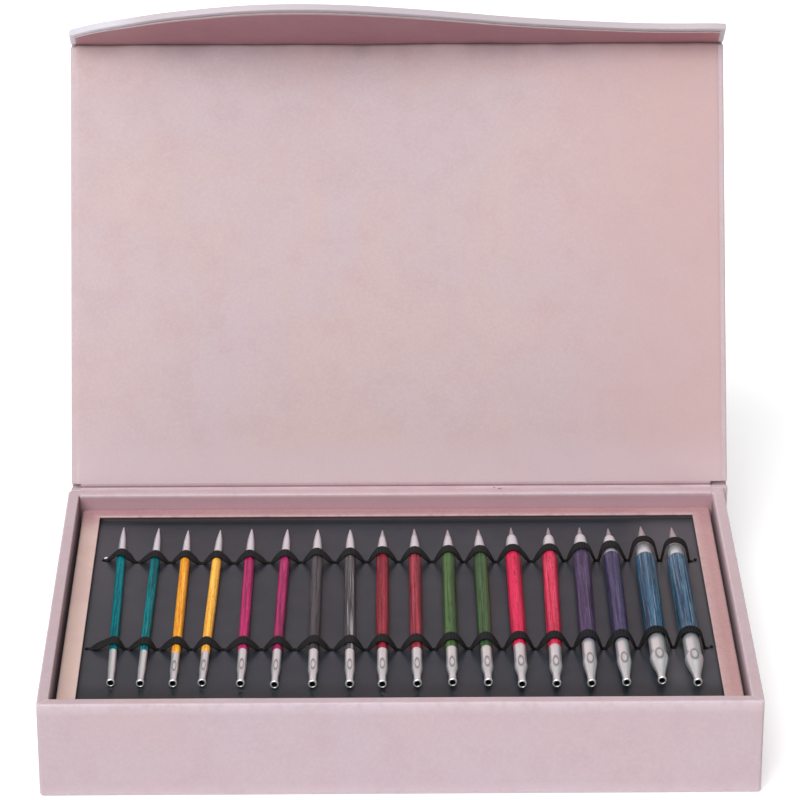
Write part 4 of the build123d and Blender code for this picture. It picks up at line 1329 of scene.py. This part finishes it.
def band_path(holes, leaning):
    """Centre line of a band as (point, width direction, width, thickness) stations about 0.3 mm apart."""
    T = 0.86
    stations = []
    for number, (needle, (xa, ya), (xb, yb)) in enumerate(zip(NEEDLES, holes, holes[1:]), 1):
        span = hypot(xb - xa, yb - ya)
        pushed = leaning.get(number, 0.0)
        ux, uy = (xb - xa) / span, (yb - ya) / span
        y_mid = (ya + yb) / 2
        cx, cz = (needle_x(needle, y_mid) - xa) / ux, needle_z(needle[0])
        half = 2.6 if needle[0] < 5.8 else 1.9
        # room for the thickest part that passes under the band as the needle slides
        rad = max(needle_radius(needle, y_mid + k) for k in spread(-half - 6.5, half + 8.0, 40)) + 0.12 + T / 2
        # and for a band that crosses its needle askew
        rad += max(0.0, 2.8 * abs(sin(atan2(uy, ux) + radians(needle[2]))) - 0.16)
        foot_z = PANEL_TOP - 0.35
        fa, fb = (0.42, foot_z), (span - 0.42, foot_z)
        (pa, aa), (pb, ab) = touch(fa, (cx, cz), rad, -1), touch(fb, (cx, cz), rad, 1)
        if aa < ab:
            aa += 2 * pi
        line = [(0.36, PANEL_TOP - PANEL_T - 0.5), (0.38, PANEL_TOP - 1.2)]
        n = max(3, int(hypot(pa[0] - fa[0], pa[1] - fa[1]) / 0.35))
        line += [(lerp(fa[0], pa[0], k / n), lerp(fa[1], pa[1], k / n)) for k in range(n)]
        m = max(6, int(rad * abs(aa - ab) / 0.35))
        line += [(cx + rad * cos(lerp(aa, ab, k / m)), cz + rad * sin(lerp(aa, ab, k / m))) for k in range(m + 1)]
        n = max(3, int(hypot(pb[0] - fb[0], pb[1] - fb[1]) / 0.35))
        line += [(lerp(pb[0], fb[0], k / n), lerp(pb[1], fb[1], k / n)) for k in range(1, n + 1)]
        line += [(span - 0.38, PANEL_TOP - 1.2), (span - 0.36, PANEL_TOP - PANEL_T - 0.5)]
        full = 5.6 if needle[0] < 5.8 else (5.3 if needle[0] < 7 else 4.6)
        for u, z in line:
            q = smooth((min(hypot(u - 0.4, z - PANEL_TOP), hypot(span - 0.4 - u, z - PANEL_TOP)) + 0.2) / 4.2) if z > PANEL_TOP - 0.3 else 0.0
            width = lerp(1.9, full, q)
            thick = lerp(0.72, T, q)
            back_off = pushed * smooth((z - PANEL_TOP) / (cz + rad - PANEL_TOP))
            stations.append(((xa + ux * u, ya + uy * u + back_off, z), (-uy, ux), width, thick, (ux, uy)))
        # short loop under the panel to the next arch
    return stations


def elastic_band(name, node, holes, leaning):
    st = band_path(holes, leaning)
    # the loop under each hole joins neighbouring arches
    M = 18
    verts, yarn = [], []
    travel = 0.0
    last = None
    for k, (p, side, width, thick, along2) in enumerate(st):
        p0, p1 = Vector(st[max(0, k - 1)][0]), Vector(st[min(len(st) - 1, k + 1)][0])
        d = (p1 - p0).normalized()
        b = Vector((side[0], side[1], 0))
        if d.length < 0.5 or abs(d.dot(b)) > 0.95:
            d = Vector((0, 0, -1))
        nrm = d.cross(b).normalized() * -1
        if last is not None:
            travel += (Vector(p) - last).length
        last = Vector(p)
        for j in range(M):
            a = 2 * pi * j / M
            ca, sa = cos(a), sin(a)
            # flattened oval section
            e = 0.62
            u = abs(ca) ** e * (1 if ca >= 0 else -1) * width / 2
            w = abs(sa) ** e * (1 if sa >= 0 else -1) * thick / 2
            # crossing yarns of the braid stand a little proud
            s1 = sin(2 * pi * (travel / 1.15 + u / 1.5))
            s2 = sin(2 * pi * (travel / 1.15 - u / 1.5))
            y = max(s1, s2)
            edge = 1 + 0.045 * sin(2 * pi * travel / 0.62) * abs(ca)
            grow = 0.055 * y
            q = Vector(p) + b * (u * edge) + nrm * (w + (grow if sa > 0 else -grow))
            verts.append(tuple(q))
            yarn.append(0.5 + 0.5 * y)
    faces = []
    for k in range(len(st) - 1):
        for j in range(M):
            q = (j + 1) % M
            faces.append((k * M + j, (k + 1) * M + j, (k + 1) * M + q, k * M + q))
    n = (len(st) - 1) * M
    faces.append(tuple(range(M)))
    faces.append(tuple(n + j for j in reversed(range(M))))
    ob = mesh(name, verts, faces, braid, {"yarn": yarn})
    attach(ob, "platform")
    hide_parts(node)
    return ob


rear = elastic_band("rear_elastic_band", "rear_elastic", REAR_HOLES, LEANING)
front = elastic_band("front_elastic_band", "front_elastic", FRONT_HOLES, {})


def bead(x, y, z, rx, ry, rz, seed, seg=20, rows=12, lean=0.0):
    """A small tied knot: an uneven ball with wrapped turns."""
    verts, faces, yarn = [], [], []
    for r in range(rows + 1):
        th = pi * r / rows
        for s in range(seg):
            ph = 2 * pi * s / seg
            n = 1 + 0.10 * noise.noise(Vector((cos(ph) * 1.7 + seed, sin(ph) * 1.7, cos(th) * 1.7)))
            turn = sin(3 * ph + 9 * th + seed)
            n += 0.06 * turn * sin(th)
            verts.append((x + rx * sin(th) * cos(ph) * n + lean * cos(th), y + ry * sin(th) * sin(ph) * n, z + rz * cos(th) * n))
            yarn.append(0.5 + 0.5 * turn)
    for r in range(rows):
        for s in range(seg):
            q = (s + 1) % seg
            faces.append((r * seg + s, r * seg + q, (r + 1) * seg + q, (r + 1) * seg + s))
    return verts, faces, yarn


def knots(name, holes, z, rx, rz, seed):
    parts, yarn = [], []
    for k, (x, y) in enumerate(holes):
        v, f, w = bead(x, y, z, rx, rx * 0.85, rz, seed + k)
        parts.append((v, f))
        yarn += w
    v, f = joined(*parts)
    ob = mesh(name, v, f, braid, {"yarn": yarn})
    bm = bmesh.new()
    bm.from_mesh(ob.data)
    bmesh.ops.remove_doubles(bm, verts=bm.verts, dist=1e-7)
    bm.to_mesh(ob.data)
    bm.free()
    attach(ob, "platform")
    return ob


knots("rear_elastic_knots", REAR_HOLES, PANEL_TOP - PANEL_T - 0.75, 1.75, 0.72, 3)
knots("front_elastic_knots", FRONT_HOLES, PANEL_TOP - PANEL_T - 0.75, 1.75, 0.72, 40)
# the bands' tied ends on the panel
knots("elastic_end_knots", [(REAR_HOLES[-1][0] + 1.9, REAR_HOLES[-1][1] + 0.8), (FRONT_HOLES[-1][0] + 2.0, FRONT_HOLES[-1][1] + 0.5)],
      PANEL_TOP + 0.45, 0.72, 0.5, 70)
# small metal crimp at the rear band's left end
cx, cy = REAR_HOLES[0][0] - 0.3, REAR_HOLES[0][1] + 0.5
v, f = revolve([(0.0, 0.0), (0.0, 0.40), (0.10, 0.50), (0.4, 0.55), (0.65, 0.50), (0.75, 0.46), (0.85, 0.50), (1.1, 0.55), (1.4, 0.50),
                (1.5, 0.40), (1.5, 0.0)], (cx, cy, PANEL_TOP + 0.62), (0.88, -0.30, 0.35), 24)
crimp = even(mesh("rear_elastic_crimp", v, f, crimp_metal))
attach(crimp, "platform")

# ---------------------------------------------------------------------------
# Floor, light
# ---------------------------------------------------------------------------
floor_mat = Shade("floor")
floor_mat.colour(floor_mat.mix(floor_mat.fit(floor_mat.noise(3.0, 3.0), 0.3, 0.7), (0.90, 0.90, 0.90), (0.93, 0.93, 0.93)))
floor_mat.set(Roughness=0.85, Emission_Color=(1.0, 1.0, 1.0, 1.0), Emission_Strength=0.26)
bpy.ops.mesh.primitive_plane_add(size=30, location=(0, 0, -0.0002))
ground = bpy.context.object
ground.name = "floor"
ground.data.materials.append(floor_mat.m)

world = bpy.data.worlds.new("studio")
scene.world = world
world.use_nodes = True
wt = world.node_tree
wt.nodes.clear()
wout = wt.nodes.new("ShaderNodeOutputWorld")
bg = wt.nodes.new("ShaderNodeBackground")
where = wt.nodes.new("ShaderNodeTexCoord")
split = wt.nodes.new("ShaderNodeSeparateXYZ")
high = wt.nodes.new("ShaderNodeMapRange")
high.interpolation_type = "SMOOTHSTEP"
for key, value in (("From Min", 0.0), ("From Max", 0.95), ("To Min", 0.12), ("To Max", 0.42)):
    high.inputs[key].default_value = value
wt.links.new(where.outputs["Generated"], split.inputs[0])
wt.links.new(split.outputs[2], high.inputs["Value"])
wt.links.new(high.outputs["Result"], bg.inputs["Strength"])
bg.inputs["Color"].default_value = (1.0, 0.995, 1.0, 1.0)
wt.links.new(bg.outputs[0], wout.inputs[0])


def soft_light(name, towards, width, strength, colour=(1, 1, 1)):
    """A wide distant light; towards points from the case to the light."""
    data = bpy.data.lights.new(name, "SUN")
    data.angle = radians(width)
    data.energy = strength
    data.color = colour
    ob = bpy.data.objects.new(name, data)
    scene.collection.objects.link(ob)
    ob.rotation_euler = Vector(towards).to_track_quat("Z", "Y").to_euler()
    return ob


soft_light("key", (-0.34, -0.62, 0.72), 46, 2.48)
soft_light("overhead", (-0.06, -0.10, 1.0), 60, 0.90)
scene.view_settings.view_transform = "Standard"
scene.view_settings.look = "None"
scene.view_settings.exposure = 0.0
scene.view_settings.gamma = 1.0
